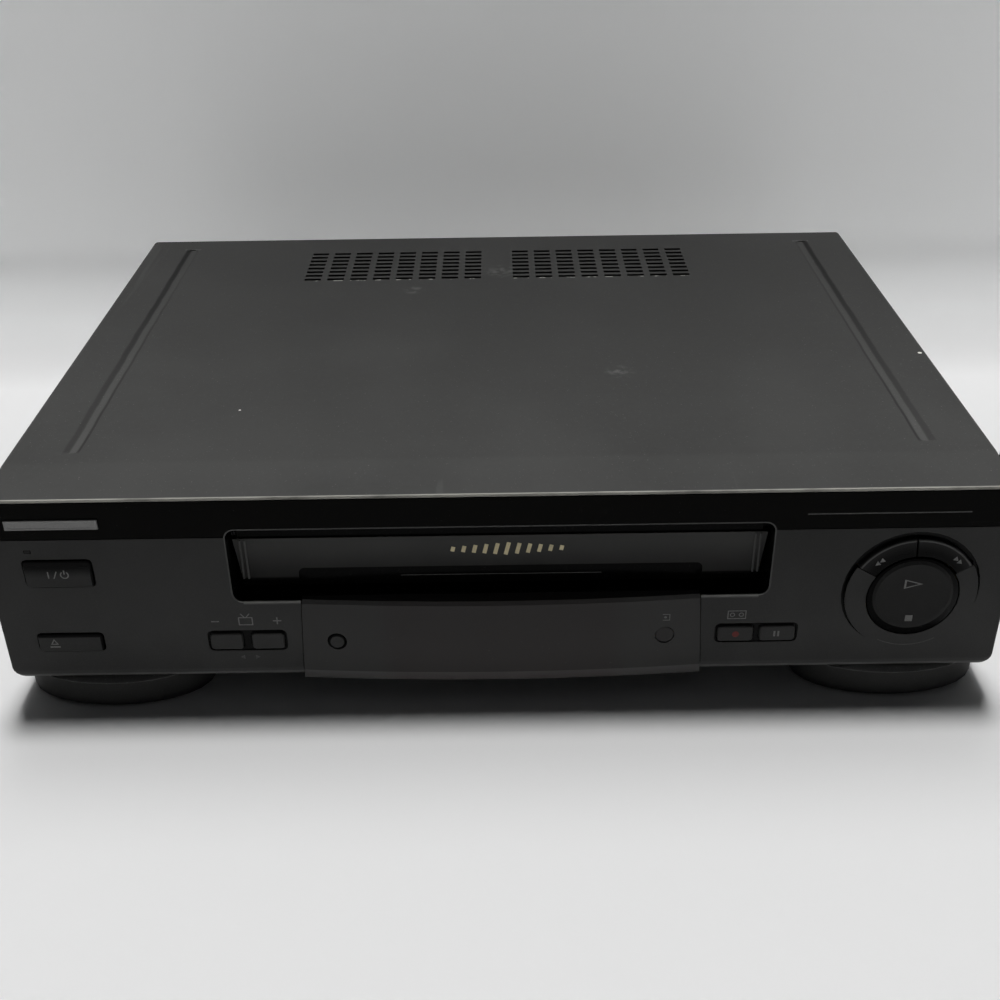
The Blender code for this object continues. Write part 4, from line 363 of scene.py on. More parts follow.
@dataclass(frozen=True)
class CoverEnamel(EnamelSteel):
    """The cover's enamel, with painted light towards the front, painted shade and highlight along its grooves, painted
    shade in its slots and pale flecks on the slots' lips.
    """

    near: float = FRONT + 10 * MM
    far: float = FRONT + 300 * MM
    crease: float = FRONT + 25 * MM
    groove: float = 182.5 * MM
    groove_ends: tuple[float, float] = (FRONT + 36 * MM, FRONT + 290 * MM)
    slots: tuple[float, float] = (FRONT + 235.6 * MM, FRONT + 281.4 * MM)
    slots_half: float = 112 * MM
    column_centre: float = 13.7 * MM
    column_pitch: float = 12.93 * MM
    sheet_top: float = 108.3 * MM

    def paint(self, bench: Bench) -> Wire:
        """The enamel with its wear, and the painted light and shade over it."""
        base = super().paint(bench)
        across, along, level = abs(bench.axis("X")), bench.axis("Y"), bench.axis("Z")
        # Painted light: lighter towards the front, on the sloped band in front of the crease and towards the sides.
        painted_fade = bench.between(along, self.far, self.near)
        painted_strip_light = bench.between(along, self.crease + 2 * MM, self.crease - 2 * MM)
        sides = bench.between(across, 90 * MM, 205 * MM)
        base = bench.scaled(base, painted_fade * 0.62 + painted_strip_light * 0.15 + sides * 0.12 + 0.78)
        # Painted shade on each groove's outer and inner walls and a painted highlight on its floor, changing along the
        # groove.
        start, end = self.groove_ends
        length = bench.band(along, (start + end) / 2, (end - start) / 2, 3 * MM)
        away = bench.between(along, start, end)
        wander = across + (bench.noise(45, 3) - 0.5) * 1.6 * MM
        outer = bench.band(wander, self.groove + 2.4 * MM, 0.9 * MM, 0.9 * MM) * (away * 0.45 + 0.3)
        inner = bench.band(wander, self.groove - 3 * MM, 0.4 * MM, 0.6 * MM) * (0.5 - away * 0.3)
        floor = bench.band(wander, self.groove - 0.4 * MM, 0.8 * MM, 1.6 * MM) * (0.34 - away * 0.22)
        rough = bench.noise(600, 2) * bench.between(along, start + 40 * MM, start) * 0.5
        base = bench.scaled(base, length * (floor + floor * rough - outer - inner) + 1)
        # Painted highlight that lifts the grooves' back ends.
        groove_end_highlight = bench.band(across, self.groove, 4.5 * MM, 0.5 * MM) * bench.between(along, end - 0.3 * MM, end)
        base = bench.scaled(base, groove_end_highlight * bench.between(along, end + 2 * MM, end + 1.6 * MM) * 0.9 + 1)
        # Painted shade on the slots' walls just below the sheet's top.
        low, high = self.slots
        row = bench.band(along, (low + high) / 2, (high - low) / 2 + 3 * MM, 0.5 * MM)
        block = row * bench.between(across, self.slots_half + 1 * MM, self.slots_half)
        base = bench.scaled(base, 1 - block * bench.between(level, self.sheet_top - 0.05 * MM,
                                                            self.sheet_top - 0.3 * MM) * 0.15)
        # Pale flecks on the slots' front lips: paint wear and painted glints.
        wave = (across - self.column_centre).wave(self.column_pitch, 0.25)
        chips = bench.between(bench.noise(260, 2), 0.5, 0.57) * bench.between(wave, -0.6, -0.4)
        lip = bench.band(along, low, 0.5 * MM, 0.3 * MM) * chips
        return bench.mix(lip * block * 0.8, base, (0.32, 0.32, 0.3))


@dataclass(frozen=True)
class GrainedPlastic(Finish):
    """Moulded plastic with a fine spark-eroded grain and a little dust in it."""

    grain: float = 2600.0
    depth: float = 0.02
    lift: float = 1.18

    def dark(self, bench: Bench) -> Value:
        """How far each point is painted black and polished as shade, from 0 to 1."""
        return 0.0

    def painted_light(self, bench: Bench) -> Value:
        """How much painted light or painted shade each point has, as a share of the plain colour."""
        return 1.0

    def wire(self, bench: Bench) -> None:
        """Wires the grain, the colour's drift, the dust and each kind's painted light and shade."""
        cloud = bench.noise(22, 3)
        speck = bench.noise(self.grain, 2)
        dark = self.dark(bench)
        base = bench.mix(bench.between(cloud, 0.3, 0.75), self.shade(0.93), self.shade(self.lift))
        base = bench.mix(bench.between(speck, 0.5, 0.78) * 0.35, base, self.shade(1.8))
        dust = bench.between(bench.noise(900, 2), 0.62, 0.78) * bench.facing_up()
        base = bench.mix(dust * 0.16, base, (0.3, 0.3, 0.29))
        pits = bench.cells(self.grain)
        bench.surface(
            Base_Color=bench.mix(dark, bench.scaled(base, self.painted_light(bench)), (0.0015, 0.0015, 0.0015)),
            Roughness=self.roughness + (speck - 0.5) * 0.16 + (cloud - 0.5) * 0.08 - dark * (self.roughness - 0.25),
            Normal=bench.bump(speck * 0.6 + pits * 0.4, self.depth * MM),
        )


@dataclass(frozen=True)
class BezelPlastic(GrainedPlastic):
    """The moulded front: painted shade, black and polished, inside its hollows, and painted light growing towards its
    foot.
    """

    inside: float = FRONT + 0.22 * MM
    half: float = 207 * MM
    foot: float = 16.4 * MM
    top: float = 102 * MM

    def dark(self, bench: Bench) -> Wire:
        """Painted shade in the hollows behind the face."""
        depth = bench.between(bench.axis("Y"), self.inside, self.inside + 0.2 * MM)
        within = bench.between(abs(bench.axis("X")), self.half + 1 * MM, self.half)
        level = bench.axis("Z")
        above = bench.between(level, self.foot + 0.6 * MM, self.foot + 1 * MM)
        return depth * within * above * bench.between(level, self.top, self.top - 1 * MM)

    def painted_light(self, bench: Bench) -> Wire:
        """Painted light: lighter towards the foot, a painted highlight on the lip there and a brighter one on the line
        under it.
        """
        level = bench.axis("Z")
        painted_fade = bench.between(level, 86 * MM, self.foot) * 0.4 + 0.82
        lip = bench.between(level, self.foot + 2.6 * MM, self.foot + 1.6 * MM) * 0.3
        return painted_fade + lip + bench.between(level, self.foot + 0.3 * MM, self.foot) * 1.6


@dataclass(frozen=True)
class FootPlastic(GrainedPlastic):
    """A front foot, with painted light on its top and painted shade along the edge it stands on."""

    stand: float = 5 * MM

    def painted_light(self, bench: Bench) -> Wire:
        """Painted shade along the edge below and painted light on top."""
        return bench.between(bench.axis("Z"), 0.0, self.stand) * 0.75 + bench.facing_up() * 5.5 + 0.3


@dataclass(frozen=True)
class PaintedShadePlastic(GrainedPlastic):
    """A button whose flat face has painted shade towards its top and its right end."""

    shade_low: float = 0.0
    shade_high: float = 0.0
    shade_right: float = 0.0

    def dark(self, bench: Bench) -> Wire:
        """Painted shade under the top edge and along the right end."""
        end = bench.between(bench.axis("X"), self.shade_right, self.shade_right + 0.3 * MM)
        return bench.between(bench.axis("Z"), self.shade_low, self.shade_high).larger(end)


@dataclass(frozen=True)
class DialPlastic(GrainedPlastic):
    """A round button: grained face, with painted shade making the slope round it black and polished."""

    centre: tuple[float, float] = (174.5 * MM, 53.2 * MM)
    face: float = 16.8 * MM

    def reach(self, bench: Bench) -> Wire:
        """Each point's distance from the centre."""
        x, z = self.centre
        wide, high = bench.axis("X") - x, bench.axis("Z") - z
        return (wide * wide + high * high) ** 0.5

    def dark(self, bench: Bench) -> Wire:
        """Painted shade on the slope outside the face."""
        return bench.between(self.reach(bench), self.face, self.face + 0.3 * MM)


@dataclass(frozen=True)
class ArcPlastic(DialPlastic):
    """The arc buttons: polished black, with painted light growing outwards, a painted highlight line near the outer
    edge and painted shade beyond it.
    """

    centre: tuple[float, float] = (174.2 * MM, 53.1 * MM)
    face: float = 27.7 * MM

    def painted_light(self, bench: Bench) -> Wire:
        """Painted light growing outwards and the painted highlight line."""
        reach = self.reach(bench)
        # Painted highlight line near the outer edge.
        line = bench.band(reach, self.face - 1.1 * MM, 0.2 * MM, 0.3 * MM)
        return bench.between(reach, 21 * MM, self.face) * 0.55 + line * 2.4 + 0.05


@dataclass(frozen=True)
class GlossPlastic(Finish):
    """Polished black plastic with hairline scratches and specks of dust."""

    haze: float = 0.12

    def wire(self, bench: Bench) -> None:
        """Wires the haze, scratches and dust."""
        scratch = bench.between(bench.noise(700, 2, (0.04, 1, 1)), 0.72, 0.76)
        dust = bench.between(bench.noise(1300, 1), 0.76, 0.8)
        cloud = bench.noise(30, 3)
        base = bench.mix(scratch * 0.02 + dust * 0.1, self.colour, (0.35, 0.35, 0.34))
        bench.surface(
            Base_Color=base,
            Roughness=self.roughness + cloud * self.haze + scratch * 0.15 + dust * 0.3,
            Normal=bench.bump(bench.noise(90, 2), 0.01 * MM),
        )


@dataclass(frozen=True)
class SmokedPanel(GlossPlastic):
    """The display's smoked panel, with a faint red cast in its middle, painted light growing towards its foot and
    painted highlight on its upward faces and bottom edge.
    """

    cast: Colour = (0.026, 0.014, 0.014)
    cast_half: float = 43 * MM
    foot: float = 17.0 * MM

    def wire(self, bench: Bench) -> None:
        """Wires the cast over the haze, and the painted light."""
        across = bench.band(bench.axis("X"), 0.0, self.cast_half, 14 * MM)
        cloud = bench.noise(26, 3)
        base = bench.mix(across * 0.2, bench.mix(cloud, self.shade(0.9), self.shade(1.15)), self.cast)
        # Painted highlight on the bottom edge, and painted light growing towards the foot and on upward faces.
        foot = bench.between(bench.axis("Z"), self.foot + 0.3 * MM, self.foot)
        painted_fade = bench.between(bench.axis("Z"), 52 * MM, self.foot) * 0.35
        base = bench.scaled(base, painted_fade + foot * 1.4 + bench.facing_up() * 0.4 + 1)
        dust = bench.between(bench.noise(1100, 1), 0.75, 0.8)
        base = bench.mix(dust * 0.12, base, (0.35, 0.34, 0.33))
        bench.surface(
            Base_Color=base,
            Roughness=self.roughness + cloud * self.haze + dust * 0.3,
            Normal=bench.bump(bench.noise(2400, 1), 0.004 * MM),
        )


@dataclass(frozen=True)
class FlapPlastic(GrainedPlastic):
    """The cassette flap: grained above, polished black below and behind its raised face, with painted light making the
    grained face darker towards its bottom.
    """

    step: float = FRONT + 9 * MM
    notch: tuple[float, float] = (86 * MM, 64.9 * MM)
    notch_corner: float = 2.5 * MM
    ends: float = 59.7 * MM
    polish: Colour = (0.002, 0.002, 0.002)

    def wire(self, bench: Bench) -> None:
        """Wires the two zones and the painted light on the grained one."""
        half, high = self.notch
        level = bench.axis("Z")
        wide = (abs(bench.axis("X")) - (half - self.notch_corner)).larger(0.0)
        tall = (level - (high - self.notch_corner)).larger(0.0)
        inlay = bench.between((wide * wide + tall * tall) ** 0.5, self.notch_corner + 0.2 * MM, self.notch_corner)
        below = bench.between(bench.axis("Y"), self.step, self.step + 0.1 * MM).larger(inlay)
        below = below.larger(bench.between(level, self.ends + 1.4 * MM, self.ends))
        speck = bench.noise(self.grain, 2)
        grained = bench.mix(bench.noise(30, 3), self.shade(0.9), self.shade(1.2))
        # Painted light: the grained face darker towards its bottom and lighter towards its top.
        grained = bench.scaled(grained, bench.between(level, 60 * MM, 78 * MM) * 0.75 + 0.7)
        dust = bench.between(bench.noise(1000, 2), 0.62, 0.75)
        polished = bench.mix(dust * 0.025, self.polish, (0.3, 0.3, 0.3))
        bench.surface(
            Base_Color=bench.mix(below, grained, polished),
            Roughness=(1 - below) * self.roughness + below * 0.16 + (speck - 0.5) * 0.1,
            Normal=bench.bump(speck * (1 - below), self.depth * MM),
        )


@dataclass(frozen=True)
class PlatedSteel(Finish):
    """Zinc plated sheet: rolled lines one way, clouds and a few dull stains."""

    run: Spot = (1.0, 0.02, 1.0)

    def wire(self, bench: Bench) -> None:
        """Wires the rolled lines and stains."""
        lines = bench.noise(900, 2, self.run)
        cloud = bench.noise(35, 4)
        stain = bench.between(bench.noise(55, 4), 0.58, 0.72)
        base = bench.mix(cloud, self.shade(0.82), self.shade(1.08))
        base = bench.mix(stain * 0.35, base, (0.3, 0.27, 0.2))
        bench.surface(
            Base_Color=base,
            Metallic=0.92 - stain * 0.3,
            Roughness=self.roughness + (lines - 0.5) * 0.2 + stain * 0.2,
            Normal=bench.bump(lines, 0.012 * MM),
        )


@dataclass(frozen=True)
class TurnedMetal(Finish):
    """Bright metal with fine turning marks round each level."""

    pitch: float = 0.35 * MM

    def wire(self, bench: Bench) -> None:
        """Wires the turning marks and fingerprints."""
        marks = bench.axis("Z").wave(self.pitch) * 0.5 + 0.5
        prints = bench.between(bench.noise(70, 4), 0.5, 0.75)
        base = bench.mix(prints, self.shade(1.05), self.shade(0.9))
        bench.surface(
            Base_Color=base,
            Metallic=1.0,
            Roughness=self.roughness + marks * 0.06 + prints * 0.05,
            Normal=bench.bump(marks * 0.5 + bench.noise(700, 2) * 0.5, 0.006 * MM),
        )


@dataclass(frozen=True)
class CircuitLaminate(Finish):
    """A paper board with copper tracks under its lacquer and solder dots."""

    track: Colour = (0.3, 0.2, 0.06)
    part: Colour = (0.015, 0.015, 0.017)
    part_level: float = 1.0

    def wire(self, bench: Bench) -> None:
        """Wires the tracks, the dots and the dark components standing on the board."""
        lanes = bench.cells(170.0, Metric.BLOCKS)
        track = bench.between(abs((lanes * 26).sine()), 0.62, 0.8)
        dots = bench.between(bench.cells(260), 0.2, 0.14)
        base = bench.mix(bench.noise(40, 3), self.shade(0.85), self.shade(1.15))
        base = bench.mix(track * 0.6, base, self.track)
        base = bench.mix(dots, base, (0.5, 0.5, 0.47))
        standing = bench.between(bench.axis("Z"), self.part_level, self.part_level + 0.2 * MM)
        base = bench.mix(standing, base, self.part)
        bench.surface(
            Base_Color=base,
            Metallic=dots * (1 - standing) * 0.9,
            Roughness=self.roughness - track * 0.15,
            Normal=bench.bump(track * 0.5 + dots * 0.5, 0.03 * MM),
        )


@dataclass(frozen=True)
class WoundCore(Finish):
    """A transformer: stacked laminations, and tape round the coil above and below them."""

    core_low: float = 0.0
    core_high: float = 0.0
    tape: Colour = (0.45, 0.28, 0.06)
    sheet_pitch: float = 0.9 * MM
    wrap_pitch: float = 6 * MM

    def wire(self, bench: Bench) -> None:
        """Wires the laminations and the tape."""
        level = bench.axis("Z")
        half = (self.core_high - self.core_low) / 2
        core = bench.band(level, (self.core_high + self.core_low) / 2, half, 0.1 * MM)
        sheets = level.wave(self.sheet_pitch) * 0.5 + 0.5
        iron = bench.mix(sheets, self.shade(0.6), self.shade(1.3))
        wraps = level.wave(self.wrap_pitch) * 0.5 + 0.5
        tape = bench.mix(wraps * bench.noise(60, 2), self.tape, (0.6, 0.4, 0.12))
        bench.surface(
            Base_Color=bench.mix(core, tape, iron),
            Metallic=core * 0.5,
            Roughness=0.35 + core * 0.2,
            Normal=bench.bump(sheets * core + wraps * (1 - core), 0.08 * MM),
        )


@dataclass(frozen=True)
class SoftRubber(Finish):
    """Matt rubber, bloomed grey in places."""

    def wire(self, bench: Bench) -> None:
        """Wires the bloom and the pores."""
        bloom = bench.between(bench.noise(120, 3), 0.45, 0.75)
        base = bench.mix(bloom * 0.5, self.colour, self.shade(2.2))
        pores = bench.noise(3000, 2)
        bench.surface(
            Base_Color=base,
            Roughness=self.roughness - bloom * 0.1 + (pores - 0.5) * 0.1,
            Normal=bench.bump(pores, 0.03 * MM),
        )


@dataclass(frozen=True)
class DarkGlass(Finish):
    """Glass so dark that what lies behind shows only as a ghost, with a phosphor grid inside."""

    grid: Colour = (0.06, 0.1, 0.09)
    column_pitch: float = 6.2 * MM
    row_pitch: float = 7 * MM

    def wire(self, bench: Bench) -> None:
        """Wires the phosphor grid under the gloss."""
        columns, rows = bench.axis("X").wave(self.column_pitch), bench.axis("Z").wave(self.row_pitch)
        bars = bench.between(abs(columns).larger(abs(rows)), 0.93, 0.99)
        base = bench.mix(bars, self.colour, self.grid)
        bench.surface(
            Base_Color=base,
            Roughness=self.roughness + bench.noise(50, 2) * 0.05,
            Normal=bench.bump(bench.noise(200, 1), 0.004 * MM),
        )


@dataclass(frozen=True)
class PrintedInk(Finish):
    """Screen-printed ink, thin in places."""

    ground: Colour = (0.021, 0.021, 0.021)
    wear: float = 0.35
    metallic: float = 0.0

    def wire(self, bench: Bench) -> None:
        """Wires the ink's thin places."""
        thin = bench.between(bench.noise(1600, 3), 0.48, 0.72)
        bench.surface(
            Base_Color=bench.mix(thin * self.wear, self.colour, self.ground),
            Roughness=self.roughness + thin * 0.2,
            Metallic=self.metallic,
            Normal=bench.bump(thin, 0.01 * MM),
        )


class Finishes:
    """The recorder's own finishes."""

    # The cover's line along its front edge is partly paint wear and partly a painted highlight on the rounded front
    # bend.
    COVER = CoverEnamel(
        "cover", "cover_paint", (0.0335, 0.0335, 0.0325), 0.58, 0.06, wear_and_highlight=(0.26, 0.255, 0.23),
        wear_and_highlight_lines=(("Y", FRONT + 0.55 * MM, 0.3 * MM),),
        scuffs=(((58 * MM, FRONT + 108 * MM, 108 * MM), 7 * MM), ((2 * MM, FRONT + 247 * MM, 108 * MM), 10 * MM),
                ((-46 * MM, FRONT + 219 * MM, 108 * MM), 6 * MM)),
        chips=(((205.8 * MM, FRONT + 125 * MM, 107.6 * MM), 1.1 * MM),
               ((-117 * MM, FRONT + 73 * MM, 108.3 * MM), 0.5 * MM)),
    )
    REAR_ENAMEL = EnamelSteel("rear_panel", "cover_paint", (0.042, 0.042, 0.04), 0.5)
    SCREW = EnamelSteel("screw", "screw_black", (0.03, 0.03, 0.03), 0.38)
    BEZEL = BezelPlastic("bezel", "bezel_plastic", (0.042, 0.042, 0.0413), 0.55, 0.07)
    # Painted highlight: the mouth's rim is lighter than the bezel, with a brighter painted highlight line along its
    # lower edge.
    RIM = EnamelSteel("rim", "bezel_plastic", (0.06, 0.06, 0.058), 0.4, 0.2, wear_and_highlight=(0.22, 0.22, 0.21),
                      wear_and_highlight_lines=(("Z", 53.6 * MM, 0.35 * MM),))
    FLAP = FlapPlastic("flap", "bezel_plastic", (0.038, 0.038, 0.037), 0.5, 0.03)
    # Painted highlight: the flap's ribs are lighter than the flap.
    RIB = GrainedPlastic("rib", "bezel_plastic", (0.075, 0.075, 0.073), 0.4, 0.2)
    BUTTON = GrainedPlastic("button", "button_plastic", (0.045, 0.045, 0.0443), 0.42, 0.07, depth=0.01)
    # Painted shade on the power and eject buttons' faces.
    POWER = PaintedShadePlastic("power_button", "button_plastic", (0.034, 0.034, 0.0335), 0.42, 0.05, depth=0.01,
                           shade_low=67.5 * MM, shade_high=73.5 * MM, shade_right=-171.6 * MM)
    EJECT = PaintedShadePlastic("eject_button", "button_plastic", (0.042, 0.042, 0.0413), 0.45, 0.05, depth=0.01,
                           shade_low=36.6 * MM, shade_high=37.4 * MM, shade_right=-173.2 * MM)
    DIAL = DialPlastic("dial", "button_plastic", (0.025, 0.025, 0.0245), 0.42, 0.04, depth=0.01)
    ARC = ArcPlastic("arc_buttons", "gloss_black", (0.03, 0.03, 0.0295), 0.3, 0.05, depth=0.006)
    SETUP = DialPlastic("setup_button", "button_plastic", (0.05, 0.05, 0.049), 0.42, 0.05, depth=0.01,
                        centre=(-71 * MM, 33 * MM), face=2.8 * MM)
    BAND = GlossPlastic("band", "gloss_black", (0.0014, 0.0013, 0.001), 0.14, 0.035)
    WINDOW = SmokedPanel("window", "smoked_window", (0.04, 0.0395, 0.0387), 0.3, 0.12)
    LENS = GlossPlastic("lens", "dark_lens", (0.04, 0.038, 0.0375), 0.24, 0.12)
    POWER_LENS = GlossPlastic("power_lens", "dark_lens", (0.015, 0.0145, 0.0145), 0.2, 0.12)
    FOOT = FootPlastic("foot", "foot_plastic", (0.042, 0.042, 0.041), 0.6, 0.06, grain=1500.0)
    SOCKET = GrainedPlastic("socket", "socket_plastic", (0.015, 0.015, 0.015), 0.42)
    ZINC = PlatedSteel("zinc", "zinc_steel", (0.33, 0.325, 0.305), 0.44, 0.5)
    CAN = PlatedSteel("can", "bright_steel", (0.42, 0.415, 0.39), 0.38, 0.5, run=(0.02, 1.0, 1.0))
    BRIGHT = TurnedMetal("bright", "bright_steel", (0.6, 0.6, 0.6), 0.24, 0.5)
    SPRING = TurnedMetal("spring", "bright_steel", (0.04, 0.04, 0.042), 0.4)
    DRUM = TurnedMetal("drum", "drum_aluminium", (0.46, 0.46, 0.47), 0.3, 0.5, pitch=0.5 * MM)
    NYLON = GrainedPlastic("nylon", "white_plastic", (0.6, 0.59, 0.55), 0.42, 0.4, grain=900.0, lift=1.05)
    BOARD = CircuitLaminate("board", "circuit_board", (0.16, 0.1, 0.035), 0.5, 0.4, part_level=20.9 * MM)
    FRONT_BOARD = CircuitLaminate("front_board", "circuit_board", (0.16, 0.1, 0.035), 0.5, 0.4)
    CORE = WoundCore("core", "core_iron", (0.09, 0.075, 0.06), 0.5, 0.4, core_low=28 * MM, core_high=48 * MM)
    RUBBER = SoftRubber("rubber", "rubber", (0.013, 0.013, 0.013), 0.75)
    TUBE = DarkGlass("tube", "tube_glass", (0.012, 0.02, 0.018), 0.06, 0.5)
    GREY_INK = PrintedInk("grey_ink", "button_plastic", (0.19, 0.19, 0.185), 0.5)
    DIM_INK = PrintedInk("dim_ink", "button_plastic", (0.095, 0.095, 0.092), 0.5)
    GOLD_INK = PrintedInk("gold_ink", "bezel_plastic", (0.52, 0.46, 0.29), 0.35, wear=0.15, metallic=0.3)
    RED_INK = PrintedInk("red_ink", "button_plastic", (0.17, 0.035, 0.03), 0.45)
    SATIN = PrintedInk("satin_silver", "bright_steel", (0.17, 0.17, 0.166), 0.4, 0.4, wear=0.12, metallic=0.4)
    NICKEL = TurnedMetal("nickel", "bright_steel", (0.66, 0.64, 0.58), 0.2, 0.5)
    YELLOW = GrainedPlastic("yellow", "socket_plastic", (0.62, 0.42, 0.03), 0.4, 0.4, lift=1.05)
    WHITE = GrainedPlastic("white", "socket_plastic", (0.62, 0.62, 0.58), 0.4, 0.4, lift=1.05)
    RED = GrainedPlastic("red", "socket_plastic", (0.5, 0.02, 0.02), 0.4, 0.4, lift=1.05)


# Modelling


class Shop:
    """Adds primitives and shapes them with Blender's own tools."""

    @staticmethod
    def only(piece: Piece) -> None:
        """Selects one object and nothing else.

        Args:
            piece: The object.
        """
        bpy.ops.object.select_all(action="DESELECT")
        piece.select_set(True)
        bpy.context.view_layer.objects.active = piece

    @staticmethod
    def take(name: str) -> Piece:
        """Names the object just added and puts its place in its mesh.

        Args:
            name: Its name.

        Returns:
            The object.
        """
        piece = bpy.context.object
        piece.name = piece.data.name = name
        bpy.ops.object.transform_apply(location=True, rotation=True, scale=True)
        return piece

    @staticmethod
    def block(name: str, low: Spot, high: Spot) -> Piece:
        """A block between two corners, to be shaped further, or a sheet where their heights are one.

        Args:
            name: The piece's name.
            low: Its lowest corner.
            high: Its highest corner.

        Returns:
            The new object.
        """
        flat = low[2] == high[2]
        add = bpy.ops.mesh.primitive_plane_add if flat else bpy.ops.mesh.primitive_cube_add
        bpy.ops.object.select_all(action="DESELECT")
        add(size=1, location=[(a + b) / 2 for a, b in zip(low, high)])
        bpy.context.object.scale = [b - a for a, b in zip(low[:2], high)] + [1 if flat else high[2] - low[2]]
        return Shop.take(name)

    @staticmethod
    def round_bar(name: str, centre: Spot, radius: float, length: float, corners: int) -> Piece:
        """A round or many-sided bar along Y, to be shaped further.

        Args:
            name: The piece's name.
            centre: Its middle.
            radius: Its radius.
            length: Its length.
            corners: How many sides it has.

        Returns:
            The new object.
        """
        bpy.ops.object.select_all(action="DESELECT")
        bpy.ops.mesh.primitive_cylinder_add(
            vertices=corners, radius=radius, depth=length, location=centre, rotation=(math.pi / 2, 0, 0)
        )
        return Shop.take(name)

    @staticmethod
    @contextmanager
    def editing(piece: Piece) -> Iterator[None]:
        """Edit mode on one piece, with nothing selected at its start.

        Args:
            piece: The piece.

        Yields:
            Nothing, while the piece is edited.
        """
        Shop.only(piece)
        bpy.ops.object.mode_set(mode="EDIT")
        bpy.ops.mesh.select_mode(type="FACE")
        bpy.ops.mesh.select_all(action="DESELECT")
        try:
            yield
        finally:
            bpy.ops.object.mode_set(mode="OBJECT")

    @staticmethod
    def pick_faces(piece: Piece, test: Test) -> None:
        """Selects the faces that pass a test.

        Args:
            piece: The piece, in edit mode.
            test: What a face's middle and normal have to pass.
        """
        bpy.ops.mesh.select_mode(type="FACE")
        shape = bmesh.from_edit_mesh(piece.data)
        for face in shape.faces:
            face.select_set(test(face.calc_center_median(), face.normal))
        bmesh.update_edit_mesh(piece.data)

    @staticmethod
    def pick_edges(piece: Piece, test: Test) -> None:
        """Selects the edges that pass a test.

        Args:
            piece: The piece, in edit mode.
            test: What an edge's two ends have to pass.
        """
        bpy.ops.mesh.select_mode(type="EDGE")
        shape = bmesh.from_edit_mesh(piece.data)
        for edge in shape.edges:
            edge.select_set(test(edge.verts[0].co, edge.verts[1].co))
        bmesh.update_edit_mesh(piece.data)

    @staticmethod
    def open_through(piece: Piece, wall: float) -> None:
        """Opens a piece in edit mode along Y and leaves a wall round the opening.

        Args:
            piece: The piece, in edit mode.
            wall: The wall's width.
        """
        Shop.pick_faces(piece, lambda middle, normal: abs(normal.y) > SQUARE_ON)
        bpy.ops.mesh.inset(thickness=wall, depth=0)
        bpy.ops.mesh.bridge_edge_loops()

    @staticmethod
    def hollow(piece: Piece, wall: float) -> Piece:
        """Makes a plate or a bar a frame or a tube.

        Args:
            piece: The piece.
            wall: The width of what is left round its opening.

        Returns:
            The same piece.
        """
        with Shop.editing(piece):
            Shop.open_through(piece, wall)
        return piece

    @staticmethod
    def modify(piece: Piece, kind: str, **settings: object) -> None:
        """Puts a modifier on a piece and applies it.

        Args:
            piece: The piece.
            kind: The modifier's type.
            settings: Its settings.
        """
        Shop.only(piece)
        modifier = piece.modifiers.new(kind, kind)
        for key, value in settings.items():
            setattr(modifier, key, value)
        bpy.ops.object.modifier_apply(modifier=modifier.name)

    @staticmethod
    def soften(piece: Piece, width: float, segments: int = 2, degrees: float = 40.0) -> Piece:
        """Rounds a piece's edges that bend more than some degrees, with some faces across each."""
        Shop.modify(piece, "BEVEL", width=width, segments=segments, limit_method="ANGLE",
                    angle_limit=math.radians(degrees))
        return piece

    @staticmethod
    def repeat(piece: Piece, count: int, step: Spot) -> None:
        """Repeats a piece's shape along a line, in one mesh."""
        Shop.modify(piece, "ARRAY", count=count, use_relative_offset=False, use_constant_offset=True,
                    constant_offset_displace=step)

    @staticmethod
    def join(name: str, pieces: Sequence[Piece]) -> Piece:
        """Makes several shapes one piece.

        Args:
            name: Its name.
            pieces: The shapes.

        Returns:
            The piece.
        """
        joined = pieces[0]
        Shop.only(joined)
        for piece in pieces[1:]:
            piece.select_set(True)
        if len(pieces) > 1:
            bpy.ops.object.join()
        joined.name = joined.data.name = name
        return joined

    @staticmethod
    def change(piece: Piece, matrix: Matrix, x: float, z: float) -> Piece:
        """Turns or stretches a piece's mesh about the line along Y through x and z.

        Args:
            piece: The piece.
            matrix: What is done to it.
            x: The line's x.
            z: The line's z.

        Returns:
            The same piece.
        """
        shift = Matrix.Translation((x, 0, z))
        piece.data.transform(shift @ matrix @ shift.inverted())
        return piece

    @staticmethod
    def settle(piece: Piece, body: str, finish: Finish, width: float = 0.0, segments: int = 2,
               degrees: float = 40.0) -> None:
        """Rounds and shades a finished piece, gives it its finish and lets it ride.

        Args:
            piece: The piece.
            body: The body that carries it.
            finish: Its finish.
            width: Width of the rounding, or 0 for none.
            segments: Faces across the rounding.
            degrees: Edges that bend more than this are rounded, or stay sharp.
        """
        if width:
            Shop.soften(piece, width, segments, degrees)
        Shop.only(piece)
        bpy.ops.object.shade_smooth_by_angle(angle=math.radians(degrees))
        Shop.modify(piece, "WEIGHTED_NORMAL", keep_sharp=True)
        piece.data.materials.clear()
        piece.data.materials.append(finish.material())
        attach(piece, body)
        log.info("%s: %d faces on %s", piece.name, len(piece.data.polygons), body)

    @staticmethod
    def keep(node: str, finish: Finish) -> None:
        """Leaves a solid of the frame as it is and gives it a finish.

        Args:
            node: The solid's node.
            finish: Its finish.
        """
        for place in frame["nodes"][node].material_slots:
            place.material = finish.material()
        log.info("%s: kept", node)

